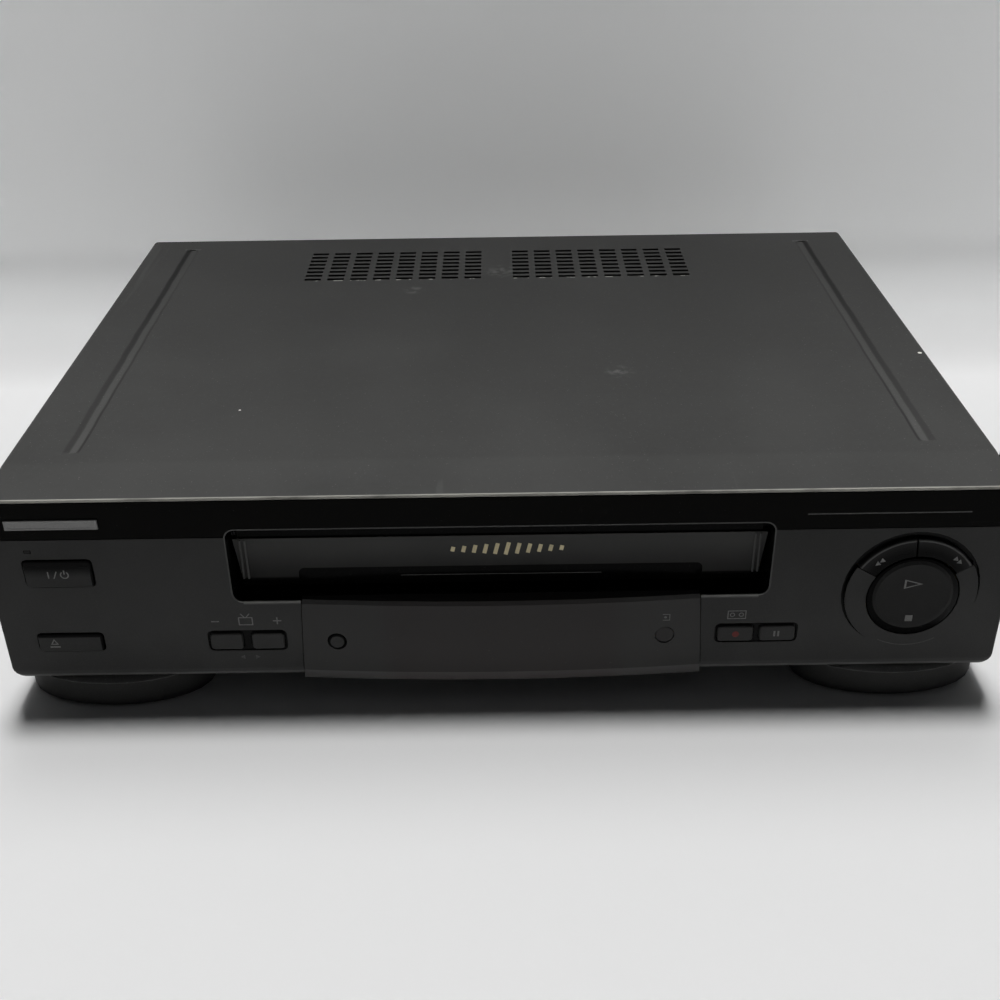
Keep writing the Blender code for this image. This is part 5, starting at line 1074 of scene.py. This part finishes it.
    @staticmethod
    def refine(node: str, finish: Finish, width: float, segments: int = 2, degrees: float = 40.0,
               body: str = "root", flatness: float = 0.4) -> None:
        """Replaces a solid by a merged copy with rounded edges and smooth round faces.

        Args:
            node: The solid's node.
            finish: Its finish.
            width: Width of the rounding, or 0 for none.
            segments: Faces across the rounding.
            degrees: Edges that bend more than this are rounded.
            body: The body that carries it.
            flatness: Faces that bend less than these degrees are made one.
        """
        piece = bpy.data.objects.new(f"{node}_fine", frame["nodes"][node].data.copy())
        bpy.context.scene.collection.objects.link(piece)
        with Shop.editing(piece):
            bpy.ops.mesh.select_all(action="SELECT")
            bpy.ops.mesh.remove_doubles(threshold=0.002 * MM)
            bpy.ops.mesh.dissolve_limited(angle_limit=math.radians(flatness))
        bpy.ops.mesh.customdata_custom_splitnormals_clear()
        Shop.settle(piece, body, finish, width, segments, degrees)
        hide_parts(node)


@dataclass
class Marks:
    """Printed symbols: thin plates on the plane y = back, with places and sizes in millimetres."""

    back: float
    thickness: float = 0.08 * MM

    def bar(self, x: float, z: float, width: float, height: float, degrees: float = 0.0) -> Piece:
        """A bar centred at x and z, turned in its plane.

        Args:
            x: Its centre.
            z: Its centre.
            width: Its width.
            height: Its height.
            degrees: How far it is turned.

        Returns:
            The new object.
        """
        low = ((x - width / 2) * MM, self.back - self.thickness, (z - height / 2) * MM)
        high = ((x + width / 2) * MM, self.back, (z + height / 2) * MM)
        return self.turned(Shop.block("bar", low, high), x, z, degrees)

    def plate(self, x: float, z: float, radius: float, corners: int, degrees: float = 0.0) -> Piece:
        """A dot, or a plate with that many corners, turned in its plane."""
        middle = (x * MM, self.back - self.thickness / 2, z * MM)
        return self.turned(Shop.round_bar("plate", middle, radius * MM, self.thickness, corners), x, z, degrees)

    def outline(self, x: float, z: float, radius: float, corners: int, stroke: float, degrees: float = 0.0) -> Piece:
        """A ring, or a frame with that many corners, with an open middle."""
        return Shop.hollow(self.plate(x, z, radius, corners, degrees), stroke * MM)

    def frame(self, x: float, z: float, width: float, height: float, stroke: float) -> Piece:
        """A rectangular frame with an open middle."""
        return Shop.hollow(self.bar(x, z, width, height), stroke * MM)

    def arc(self, x: float, z: float, radius: float, stroke: float, start: float, end: float, steps: int) -> Piece:
        """A curved line, made by spinning a short bar's end face.

        Args:
            x: The arc's centre.
            z: The arc's centre.
            radius: Its radius.
            stroke: Its width.
            start: Where it starts, in degrees from +X towards +Z.
            end: Where it ends.
            steps: How many straight pieces it has.

        Returns:
            The new object.
        """
        made = self.bar(x + radius, z, stroke, 0.02)
        with Shop.editing(made):
            Shop.pick_faces(made, lambda middle, normal: normal.z > SQUARE_ON)
            bpy.ops.mesh.spin(steps=steps, angle=math.radians(end - start), center=(x * MM, 0, z * MM), axis=(0, 1, 0))
        return self.turned(made, x, z, -start)

    @staticmethod
    def turned(piece: Piece, x: float, z: float, degrees: float) -> Piece:
        """Turns a shape in its plane, about x and z."""
        return Shop.change(piece, Matrix.Rotation(math.radians(degrees), 4, "Y"), x * MM, z * MM)

    @staticmethod
    def printed(name: str, shapes: Sequence[Piece], body: str, finish: Finish) -> None:
        """Joins shapes into one mark, eases their edges and settles it on a body."""
        Shop.settle(Shop.join(name, shapes), body, finish, 0.03 * MM, 1)


# Sub-assemblies


@dataclass
class CoverShell:
    """The folded cover with the rear panel and the screws that hold them."""

    screws: tuple[str, ...] = ("left_front", "left_back", "right_front", "right_back", "rear")
    rear_screws: tuple[tuple[float, float], ...] = (
        (-195, 92), (195, 92), (-140, 20), (112, 42), (10, 42), (190, 20),
    )
    head_radius: float = 3 * MM
    head_height: float = 1.2 * MM
    head_corners: int = 20

    def build(self) -> None:
        """Builds the cover, the panel and the screws."""
        Shop.refine("top_cover", Finishes.COVER, 0.15 * MM, degrees=50, flatness=0.02)
        Shop.refine("rear_panel", Finishes.REAR_ENAMEL, 0.1 * MM, 1, 50)
        for place in self.screws:
            Shop.refine(f"cover_screw_{place}", Finishes.SCREW, 0.15 * MM)
        for index, (x, z) in enumerate(self.rear_screws):
            self.panel_screw(f"panel_screw_{index + 1}", x * MM, z * MM)

    def panel_screw(self, name: str, x: float, z: float) -> None:
        """A small screw head with a raised ring and a sunk middle, on the rear panel.

        Args:
            name: The piece's name.
            x: Its centre.
            z: Its centre.
        """
        centre = (x, REAR + self.head_height / 2, z)
        head = Shop.round_bar(name, centre, self.head_radius, self.head_height, self.head_corners)
        with Shop.editing(head):
            Shop.pick_faces(head, lambda middle, normal: normal.y > SQUARE_ON)
            bpy.ops.mesh.inset(thickness=1.1 * MM, depth=0.35 * MM)
            bpy.ops.mesh.inset(thickness=0.9 * MM, depth=-0.7 * MM)
        Shop.settle(Shop.soften(head, 0.15 * MM, degrees=35), "root", Finishes.SCREW)


@dataclass
class Undercarriage:
    """The tray under everything and the four feet."""

    foot_edge: float = 0.5 * MM

    def build(self) -> None:
        """Builds the tray and the feet."""
        Shop.keep("chassis_tray", Finishes.ZINC)
        for place in ("front", "rear"):
            for side in ("left", "right"):
                Shop.refine(f"{place}_foot_{side}", Finishes.FOOT, self.foot_edge, 3, 30)


@dataclass
class FrontPanel:
    """The moulded front, the gloss band along its top and what is printed on both."""

    badge: tuple[float, float, float, float] = (-202.6 * MM, 91.4 * MM, -164.4 * MM, 95.8 * MM)
    rule: tuple[float, float, float, float] = (159.5, 93.4, 67, 0.5)
    mouth_half: float = 113.4 * MM
    mouth_low: float = 54 * MM
    mouth_high: float = 89.4 * MM
    mouth_corner: float = 4 * MM
    rim_width: float = 0.6 * MM
    rim_proud: float = 0.12 * MM
    rim_back: float = FRONT + 0.6 * MM
    lip_start: float = 85 * MM
    lip_height: float = 1.6 * MM
    lip_overlap: float = 0.05 * MM
    channel: tuple[float, float] = (-109.6, 43.7)
    minus: float = -122.7
    plus: float = -96.1
    tracking: float = 24.6
    tape: tuple[float, float] = (101, 43.4)

    def build(self) -> None:
        """Builds the shell, the band, the badge and the printed marks."""
        Shop.refine("front_bezel", Finishes.BEZEL, 0.12 * MM, degrees=45)
        self.mouth_rim()
        Shop.refine("trim_band", Finishes.BAND, 0.2 * MM)
        self.band_badge()
        self.legends()

    def mouth_rim(self) -> None:
        """The fine raised rim round the cassette's mouth, with a wider lip in each lower corner, in a pale finish that
        is painted highlight.
        """
        half, low, high, grow = self.mouth_half, self.mouth_low, self.mouth_high, self.rim_width
        face = FRONT - self.rim_proud
        rim = Shop.block("rim", (-half - grow, face, low - grow), (half + grow, self.rim_back, high + grow))
        with Shop.editing(rim):
            Shop.pick_edges(rim, lambda a, b: abs(a.y - b.y) > self.rim_width / 2)
            bpy.ops.mesh.bevel(offset=self.mouth_corner + grow, segments=8)
            Shop.open_through(rim, grow)
            for side in (-1, 1):
                bpy.ops.mesh.select_all(action="SELECT")
                bpy.ops.mesh.bisect(plane_co=(side * self.lip_start, 0, 0), plane_no=(1, 0, 0))
            Shop.pick_faces(rim, lambda middle, normal: abs(middle.x) < self.lip_start and middle.z < low + grow)
            bpy.ops.mesh.delete(type="FACE")
            bpy.ops.mesh.select_all(action="SELECT")
            bpy.ops.mesh.fill_holes(sides=0)
        pieces = [rim]
        for side in (-1, 1):
            near, far = sorted((side * self.lip_start, side * (half - self.mouth_corner)))
            lip = Shop.block("lip", (near, face - self.lip_overlap, low - self.lip_height),
                             (far, self.rim_back, low + self.lip_overlap))
            pieces.append(Shop.soften(lip, 0.35 * MM, 3))
        whole = Shop.soften(Shop.join("mouth_rim", pieces), 0.1 * MM, 2, 60)
        Shop.settle(whole, "root", Finishes.RIM)

    def band_badge(self) -> None:
        """A plain satin bar with a shallow dished face, and a fine rule, both on the band."""
        left, low, right, high = self.badge
        bar = Shop.block("band_badge", (left, FRONT - 0.9 * MM, low), (right, FRONT + 0.1 * MM, high))
        with Shop.editing(bar):
            Shop.pick_faces(bar, lambda middle, normal: normal.y < -SQUARE_ON)
            bpy.ops.mesh.inset(thickness=0.7 * MM, depth=0)
            bpy.ops.mesh.inset(thickness=0.2 * MM, depth=-0.2 * MM)
        Shop.settle(bar, "root", Finishes.SATIN, 0.25 * MM, 3)
        Marks.printed("band_rule", [Marks(FRONT).bar(*self.rule)], "root", Finishes.DIM_INK)

    def legends(self) -> None:
        """Symbols over the button pairs: minus and plus, a screen, a cassette and two arrows."""
        marks = Marks(FRONT)
        x, z = self.channel
        signs = [marks.bar(self.minus, z, 3.4, 0.55), marks.bar(self.plus, z, 3.6, 0.55),
                 marks.bar(self.plus, z, 0.55, 3.6), marks.frame(x, z, 6.2, 4.2, 0.45)]
        signs += [marks.bar(x + side * 1.1, z + 2.9, 0.4, 2.6, side * 38) for side in (-1, 1)]
        marks.printed("channel_marks", signs, "root", Finishes.GREY_INK)
        arrows = [marks.plate(x + side * 3, self.tracking, 1.3, 3, side * 90) for side in (-1, 1)]
        marks.printed("tracking_marks", arrows, "root", Finishes.DIM_INK)
        x, z = self.tape
        shell = [marks.frame(x, z, 8, 4.4, 0.4)]
        shell += [marks.outline(x + side * 1.9, z, 1.1, 14, 0.35) for side in (-1, 1)]
        marks.printed("tape_marks", shell, "root", Finishes.GREY_INK)


@dataclass
class CassetteFlap:
    """The flap over the cassette's mouth, its spring and the level bars printed on it."""

    face: float = FRONT + 8.5 * MM
    lower_face: float = FRONT + 9.5 * MM
    bars: int = 11
    bar_pitch: float = 4.6
    bar_centre: tuple[float, float] = (3, 73.4)
    bar_width: float = 1.7
    bar_slant: float = 14
    rule: tuple[float, float, float, float] = (0.2, 60, 86, 0.35)
    rib_places: tuple[float, float] = (107.5 * MM, 109.6 * MM)
    rib_half: float = 0.35 * MM
    rib_low: float = 60 * MM
    rib_high: float = 79.4 * MM
    wing_root: float = 110.2 * MM
    wing_tip: float = 112.7 * MM
    wing_low: float = 60.5 * MM
    wing_high: float = 80 * MM

    def build(self) -> None:
        """Builds the flap and what it carries."""
        Shop.refine("cassette_door", Finishes.FLAP, 0.3 * MM, body="door")
        Shop.refine("door_spring", Finishes.SPRING, 0, body="door")
        self.level_bars()
        self.ribs()
        self.wings()
        Marks.printed("flap_rule", [Marks(self.lower_face).bar(*self.rule)], "door", Finishes.DIM_INK)

    def level_bars(self) -> None:
        """A row of slanted bars that swells towards its middle."""
        marks = Marks(self.face)
        x, z = self.bar_centre
        middle = (self.bars - 1) / 2
        made = []
        for index in range(self.bars):
            height = 1.6 + 4.6 * (1 - abs(index - middle) / (middle + 1))
            made.append(marks.bar(x + (index - middle) * self.bar_pitch, z, self.bar_width, height, self.bar_slant))
        marks.printed("flap_level_bars", made, "door", Finishes.GOLD_INK)

    def ribs(self) -> None:
        """Two pairs of upright ribs near the flap's ends, in a lighter finish that is painted highlight."""
        front, back = self.face - 0.6 * MM, self.face + 0.2 * MM
        made = []
        for x in (side * place for side in (-1, 1) for place in self.rib_places):
            made.append(Shop.block("rib", (x - self.rib_half, front, self.rib_low),
                                   (x + self.rib_half, back, self.rib_high)))
        Shop.settle(Shop.join("flap_ribs", made), "door", Finishes.RIB, 0.2 * MM)

    def wings(self) -> None:
        """The tapered lips that close the gap beside the flap's ends."""
        slope = (self.wing_tip - self.wing_root) / (self.wing_high - self.wing_low)
        made = []
        for side in (-1, 1):
            near, far = sorted((side * self.wing_root, side * self.wing_tip))
            wing = Shop.block("wing", (near, self.face, self.wing_low), (far, self.face + 1 * MM, self.wing_high))
            made.append(wing)
            with Shop.editing(wing):
                bpy.ops.mesh.select_all(action="SELECT")
                bpy.ops.mesh.bisect(plane_co=(side * self.wing_tip, 0, self.wing_high), plane_no=(side, 0, -slope),
                                    use_fill=True, clear_outer=True)
        Shop.settle(Shop.join("flap_wings", made), "door", Finishes.FLAP, 0.2 * MM)


@dataclass
class DisplayGroup:
    """The smoked window with its sensor, and the display tube behind it."""

    window_half: float = 84.7
    bulge: float = 3.5 * MM
    sensor: tuple[float, float] = (70.3, 43.4)

    def build(self) -> None:
        """Builds the window, the lenses, the tube and the sensor's mark on the bowed window."""
        Shop.refine("display_window", Finishes.WINDOW, 0.25 * MM, degrees=25)
        Shop.refine("sensor_lens", Finishes.LENS, 0.2 * MM)
        Shop.refine("power_lens", Finishes.POWER_LENS, 0.15 * MM)
        Shop.refine("display_tube", Finishes.TUBE, 0.3 * MM)
        x, z = self.sensor
        marks = Marks(FRONT - self.bulge * (1 - (x / self.window_half) ** 2) - 0.02 * MM)
        shapes = [marks.frame(x, z, 4, 3.4, 0.4), marks.plate(x, z, 0.6, 12)]
        marks.printed("sensor_mark", shapes, "root", Finishes.GREY_INK)


@dataclass
class ButtonSet:
    """The rectangular buttons and the round one, with the symbols printed on them."""

    face: float = FRONT - 1 * MM
    edge: float = 0.45 * MM
    on_bar: float = -189
    stroke: float = -186.1
    ring: tuple[float, float] = (-182.2, 69.4)
    eject: tuple[float, float] = (-193, 34.4)
    record: tuple[float, float] = (101, 33.8)
    pause: tuple[float, float] = (118.6, 33.8)

    def build(self) -> None:
        """Builds each button, then the symbols."""
        for name, finish in (
            ("channel_down", Finishes.BUTTON), ("channel_up", Finishes.BUTTON), ("record", Finishes.BUTTON),
            ("pause", Finishes.BUTTON), ("setup", Finishes.SETUP), ("power", Finishes.POWER),
            ("eject", Finishes.EJECT),
        ):
            Shop.refine(f"{name}_button", finish, self.edge, 3, body=f"{name}_button")
        marks = Marks(self.face)
        self.symbol("power", self.power_shapes(marks))
        x, z = self.eject
        self.symbol("eject", [marks.outline(x, z, 2, 3, 0.45), marks.bar(x, z - 2.2, 4.4, 0.7)])
        self.symbol("record", [marks.plate(*self.record, 1.5, 24)], Finishes.RED_INK)
        x, z = self.pause
        self.symbol("pause", [marks.bar(x + side * 0.85, z, 0.85, 2.8) for side in (-1, 1)])

    def power_shapes(self, marks: Marks) -> list[Piece]:
        """An upright bar, a stroke and a broken ring with its own bar."""
        x, z = self.ring
        return [marks.bar(self.on_bar, z, 0.5, 3.2), marks.bar(self.stroke, z, 0.45, 3.8, 24),
                marks.arc(x, z, 1.6, 0.5, 125, 415, 22), marks.bar(x, z + 1.3, 0.5, 2)]

    @staticmethod
    def symbol(name: str, shapes: Sequence[Piece], finish: Finish = Finishes.GREY_INK) -> None:
        """Prints a symbol on the button of that name."""
        Marks.printed(f"{name}_symbol", shapes, f"{name}_button", finish)


@dataclass
class TransportDial:
    """The rocking disc, the two arcs over it and the line printed under it."""

    centre: tuple[float, float] = (175, 51.5)
    disc_face: float = FRONT - 1.2 * MM
    play: tuple[float, float] = (172.8, 58.8)
    stop_face: float = FRONT - 1.4 * MM
    stop: tuple[float, float] = (174.4, 41.4)
    arc_face: float = FRONT - 0.5 * MM
    arc_radius: float = 24.4
    arrow_step: float = 5.5
    line_radius: float = 25.2

    def build(self) -> None:
        """Builds the disc, the arcs and their symbols."""
        Shop.refine("play_stop_disc", Finishes.DIAL, 0.4 * MM, 3, 30, "play_stop_disc")
        for node in ("rewind_button", "fast_forward_button"):
            Shop.refine(node, Finishes.ARC, 0.5 * MM, 4, 30, node)
        x, z = self.play
        play = Marks(self.disc_face).outline(x, z, 3.2, 3, 0.5, 90)
        Shop.change(play, Matrix.Diagonal((1.65, 1, 0.85, 1)), x * MM, z * MM)
        Marks.printed("play_symbol", [play], "play_stop_disc", Finishes.GREY_INK)
        stop = Marks(self.stop_face, 0.15 * MM).plate(*self.stop, 2.2, 4, 45)
        Marks.printed("stop_symbol", [stop], "play_stop_disc", Finishes.GREY_INK)
        self.arrows("rewind", 132, -90)
        self.arrows("fast_forward", 49, 90)
        line = Marks(FRONT).arc(*self.centre, self.line_radius, 0.35, 242, 300, 18)
        Marks.printed("dial_line", [line], "root", Finishes.DIM_INK)

    def arrows(self, name: str, place: float, heading: float) -> None:
        """Two small triangles one behind the other along an arc.

        Args:
            name: The first word of the button that carries them.
            place: Where on the arc they sit, in degrees.
            heading: Which way they point.
        """
        x, z = self.centre
        made = []
        for index in range(2):
            angle = math.radians(place + (index - 0.5) * self.arrow_step)
            made.append(Marks(self.arc_face).plate(x + self.arc_radius * math.cos(angle),
                                                   z + self.arc_radius * math.sin(angle),
                                                   1.35, 3, heading + 90 - place))
        Marks.printed(f"{name}_symbol", made, f"{name}_button", Finishes.GREY_INK)


@dataclass
class RearSockets:
    """The jacks, the antenna terminals, the channel switch and the mains inlet."""

    jack_x: float = 62 * MM
    jack_z: float = 43.5 * MM
    column_pitch: float = 22 * MM
    row_pitch: float = 20 * MM
    collar: tuple[float, float, float, float] = (6.25 * MM, 7.6 * MM, -0.05 * MM, 1.2 * MM)
    sleeve: tuple[float, float, float, float] = (4.12 * MM, 4.4 * MM, 1.85 * MM, 9.5 * MM)
    thread: tuple[float, float, float, float] = (4.72 * MM, 4.95 * MM, 2.2 * MM, 2.6 * MM)
    threads: int = 8
    thread_pitch: float = 0.7 * MM
    antenna_x: float = 150 * MM
    antenna_rows: tuple[float, float] = (29.5 * MM, 53.5 * MM)
    inlet: tuple[float, float] = (-168 * MM, 37.5 * MM)
    pin_place: float = 4 * MM
    pin_middle: float = FRONT + 297.9 * MM
    pin_radius: float = 1.26 * MM
    pin_length: float = 11.2 * MM

    def build(self) -> None:
        """Builds the blocks, then the collars, sleeves, threads and pins on them."""
        Shop.refine("audio_video_jacks", Finishes.SOCKET, 0.3 * MM)
        Shop.refine("antenna_terminals", Finishes.CAN, 0.2 * MM)
        Shop.refine("channel_switch", Finishes.SOCKET, 0.1 * MM, body="channel_switch")
        Shop.refine("mains_inlet", Finishes.SOCKET, 0.4 * MM)
        for row in range(2):
            for column, finish in enumerate((Finishes.YELLOW, Finishes.WHITE, Finishes.RED)):
                x = self.jack_x + (1 - column) * self.column_pitch
                z = self.jack_z + (row - 0.5) * self.row_pitch
                name = f"jack_{row + 1}_{column + 1}"
                Shop.settle(self.ring(f"{name}_collar", x, z, self.collar), "root", finish, 0.25 * MM)
                Shop.settle(self.ring(f"{name}_sleeve", x, z, self.sleeve), "root", Finishes.NICKEL, 0.1 * MM)
        for index, z in enumerate(self.antenna_rows):
            ridge = self.ring(f"antenna_thread_{index + 1}", self.antenna_x, z, self.thread, 24)
            Shop.repeat(ridge, self.threads, (0, self.thread_pitch, 0))
            Shop.settle(ridge, "root", Finishes.NICKEL)
        x, z = self.inlet
        for side in (-1, 1):
            pin = Shop.round_bar(f"inlet_pin_{side + 2}", (x + side * self.pin_place, self.pin_middle, z),
                                 self.pin_radius, self.pin_length, 20)
            Shop.settle(pin, "root", Finishes.NICKEL, 0.4 * MM, 3)

    @staticmethod
    def ring(name: str, x: float, z: float, sizes: tuple[float, float, float, float], corners: int = 28) -> Piece:
        """A tube along Y, standing on the rear panel.

        Args:
            name: The piece's name.
            x: Its centre.
            z: Its centre.
            sizes: Its inner and outer radius, and its start and end behind the panel's face.
            corners: How many sides it has.

        Returns:
            The new object.
        """
        inner, outer, low, high = sizes
        low, high = REAR + low, REAR + high
        bar = Shop.round_bar(name, (x, (low + high) / 2, z), outer, high - low, corners)
        return Shop.hollow(bar, outer - inner)


@dataclass
class Circuitry:
    """The boards, the transformer and the tuner."""

    edge: float = 0.4 * MM

    def build(self) -> None:
        """Builds each electrical piece."""
        Shop.keep("main_board", Finishes.BOARD)
        Shop.keep("front_board", Finishes.FRONT_BOARD)
        Shop.refine("power_transformer", Finishes.CORE, self.edge)
        Shop.refine("tuner_can", Finishes.CAN, self.edge)


@dataclass
class TapeDeck:
    """The deck plate and everything that turns or slides on it."""

    bright_moving: tuple[str, ...] = ("capstan", "left_guide_post", "right_guide_post", "pinch_arm", "tension_arm")
    bright_fixed: tuple[str, ...] = ("audio_control_head", "erase_head", "loading_motor")
    nylon: tuple[str, ...] = ("reel_pulley", "supply_reel_table", "takeup_reel_table", "idler_gear", "cam_gear")

    def build(self) -> None:
        """Builds the plate, the drums, the drive and the guides."""
        Shop.keep("deck_plate", Finishes.ZINC)
        Shop.refine("lower_drum", Finishes.DRUM, 0.3 * MM)
        Shop.refine("upper_drum", Finishes.DRUM, 0.3 * MM, body="upper_drum")
        for node in self.bright_moving:
            Shop.refine(node, Finishes.BRIGHT, 0.15 * MM, body=node)
        for node in self.bright_fixed:
            Shop.refine(node, Finishes.BRIGHT, 0.15 * MM)
        for node in self.nylon:
            Shop.refine(node, Finishes.NYLON, 0.1 * MM, 1, body=node)
        Shop.refine("idler_arm", Finishes.ZINC, 0.15 * MM, body="idler_arm")
        Shop.refine("drive_belt", Finishes.RUBBER, 0.1 * MM)
        Shop.refine("pinch_roller", Finishes.RUBBER, 0.4 * MM, 3, body="pinch_roller")


@dataclass
class CassetteLoader:
    """The frame, carriage and holder that carry a cassette in."""

    edge: float = 0.15 * MM

    def build(self) -> None:
        """Builds the three folded steel pieces."""
        Shop.refine("loader_frame", Finishes.ZINC, self.edge, 1)
        for node in ("loader_carriage", "cassette_holder"):
            Shop.refine(node, Finishes.ZINC, self.edge, 1, body=node)


@dataclass
class Studio:
    """The pale floor and backdrop, the soft lamps and the camera."""

    eye: Spot = (1.14 * MM, FRONT - 439.2 * MM, 361.5 * MM)
    pitch: float = 0.53336
    yaw: float = -0.00203
    roll: float = -0.01556
    focal_pixels: float = 1259.5
    frame_pixels: float = 1000.0
    sensor: float = 36.0
    sweep_width: float = 6.0
    sweep_front: float = -3.0
    wall: float = FRONT + 402 * MM
    wall_height: float = 1.6
    bend: float = 75 * MM
    floor_tone: Colour = (0.74, 0.74, 0.74)
    wall_tone: Colour = (0.88, 0.885, 0.885)
    wall_glow: Colour = (0.2, 0.202, 0.202)
    sky_tone: Colour = (0.5, 0.503, 0.505)
    world_tone: Colour = (0.9, 0.92, 0.95)
    world_strength: float = 0.02
    ground_level: float = -0.5 * MM
    soft_lamps: tuple[tuple[str, float, float, float], ...] = (("over", 10.3, 10.5, 2.3), ("behind", 29, 27, 1.04))

    def build(self) -> None:
        """Sets the stage."""
        self.camera()
        self.surfaces()
        self.lamps()
        bpy.context.scene.view_settings.view_transform = "Standard"

    def camera(self) -> None:
        """The camera, fitted to the photograph."""
        ahead = Vector((math.sin(self.yaw) * math.cos(self.pitch), math.cos(self.yaw) * math.cos(self.pitch),
                        -math.sin(self.pitch)))
        level = Vector((math.cos(self.yaw), -math.sin(self.yaw), 0))
        above = level.cross(ahead)
        right = level * math.cos(self.roll) + above * math.sin(self.roll)
        up = above * math.cos(self.roll) - level * math.sin(self.roll)
        lens = bpy.data.cameras.new("camera")
        lens.sensor_width = self.sensor
        lens.lens = self.focal_pixels / self.frame_pixels * self.sensor
        lens.clip_start = 0.01
        lens.clip_end = 50
        camera = bpy.data.objects.new("camera", lens)
        bpy.context.scene.collection.objects.link(camera)
        turn = Matrix((right, up, -ahead)).transposed()
        camera.matrix_world = Matrix.Translation(self.eye) @ turn.to_4x4()
        bpy.context.scene.camera = camera

    def surfaces(self) -> None:
        """The floor, turned up into a wall behind in one sheet with a soft bend."""
        half, front, wall, below = self.sweep_width / 2, self.sweep_front, self.wall, self.ground_level
        sweep = Shop.block("studio_sweep", (-half, front, 0), (half, wall, 0))
        with Shop.editing(sweep):
            Shop.pick_edges(sweep, lambda a, b: min(a.y, b.y) > wall - 1 * MM)
            bpy.ops.mesh.extrude_region_move(TRANSFORM_OT_translate={"value": (0, 0, self.wall_height)})
            Shop.pick_edges(sweep, lambda a, b: min(a.y, b.y) > wall - 1 * MM and max(a.z, b.z) < 1 * MM)
            bpy.ops.mesh.bevel(offset=self.bend, segments=24)
        bpy.ops.object.shade_smooth()
        sweep.visible_shadow = False
        ground = Shop.block("studio_ground", (-half, front, below), (half, -front, below))
        with Shop.editing(ground):
            bpy.ops.mesh.select_all(action="SELECT")
            bpy.ops.mesh.subdivide(number_cuts=3)
        material = self.paper()
        for sheet in (sweep, ground):
            sheet.data.materials.append(material)

    def paper(self) -> bpy.types.Material:
        """The sheets' matt paper, paler and faintly glowing where it rises into the wall."""
        bench = Bench("studio_paper")
        level = bench.axis("Z")
        tone = bench.mix(bench.between(level, 0.0, 0.03), self.floor_tone, self.wall_tone)
        glow = bench.mix(bench.between(level, 0.0, 0.05) * bench.looked_at(), (0.0, 0.0, 0.0), self.wall_glow)
        bench.surface(Base_Color=bench.mix(bench.noise(900, 2) * 0.03, tone, (0.4, 0.4, 0.4)), Roughness=0.85,
                      Specular_IOR_Level=0.1, Emission_Color=glow, Emission_Strength=1.0)
        bench.see_through_from_behind()
        return bench.material

    def lamps(self) -> None:
        """A soft lamp high above the recorder's back, a wide weak one behind it and a dim even world."""
        world = bpy.data.worlds.new("studio_world")
        world.use_nodes = True
        bench = Bench("studio_world", world.node_tree)
        dim = bench.node("Background", {}, {"Color": self.world_tone, "Strength": self.world_strength})
        pale = bench.node("Background", {}, {"Color": self.sky_tone, "Strength": 1.0})
        both = bench.node("MixShader", {}, {0: bench.looked_at(), 1: dim, 2: pale})
        bench.feed(bench.tree.nodes["World Output"].inputs["Surface"], both)
        bpy.context.scene.world = world
        for lamp in self.soft_lamps:
            self.lamp(*lamp)

    @staticmethod
    def lamp(name: str, behind: float, spread: float, strength: float) -> None:
        """One soft, far-off lamp.

        Args:
            name: Its name.
            behind: The degrees by which it stands behind the point overhead.
            spread: The angle it fills, in degrees.
            strength: Its light on a surface that faces it, in watts per square metre.
        """
        light = bpy.data.lights.new(name, "SUN")
        light.angle = math.radians(spread)
        light.energy = strength
        lamp = bpy.data.objects.new(name, light)
        bpy.context.scene.collection.objects.link(lamp)
        lamp.rotation_euler = (-math.radians(behind), 0, 0)


def main() -> None:
    """Builds every sub-assembly in order and reports it."""
    logging.basicConfig(level=logging.INFO, format="%(name)s %(message)s")
    for group in (Studio(), CoverShell(), Undercarriage(), FrontPanel(), CassetteFlap(), DisplayGroup(), ButtonSet(),
                  TransportDial(), RearSockets(), Circuitry(), TapeDeck(), CassetteLoader()):
        log.info("building %s", type(group).__name__)
        group.build()


if __name__ == "__main__":
    main()
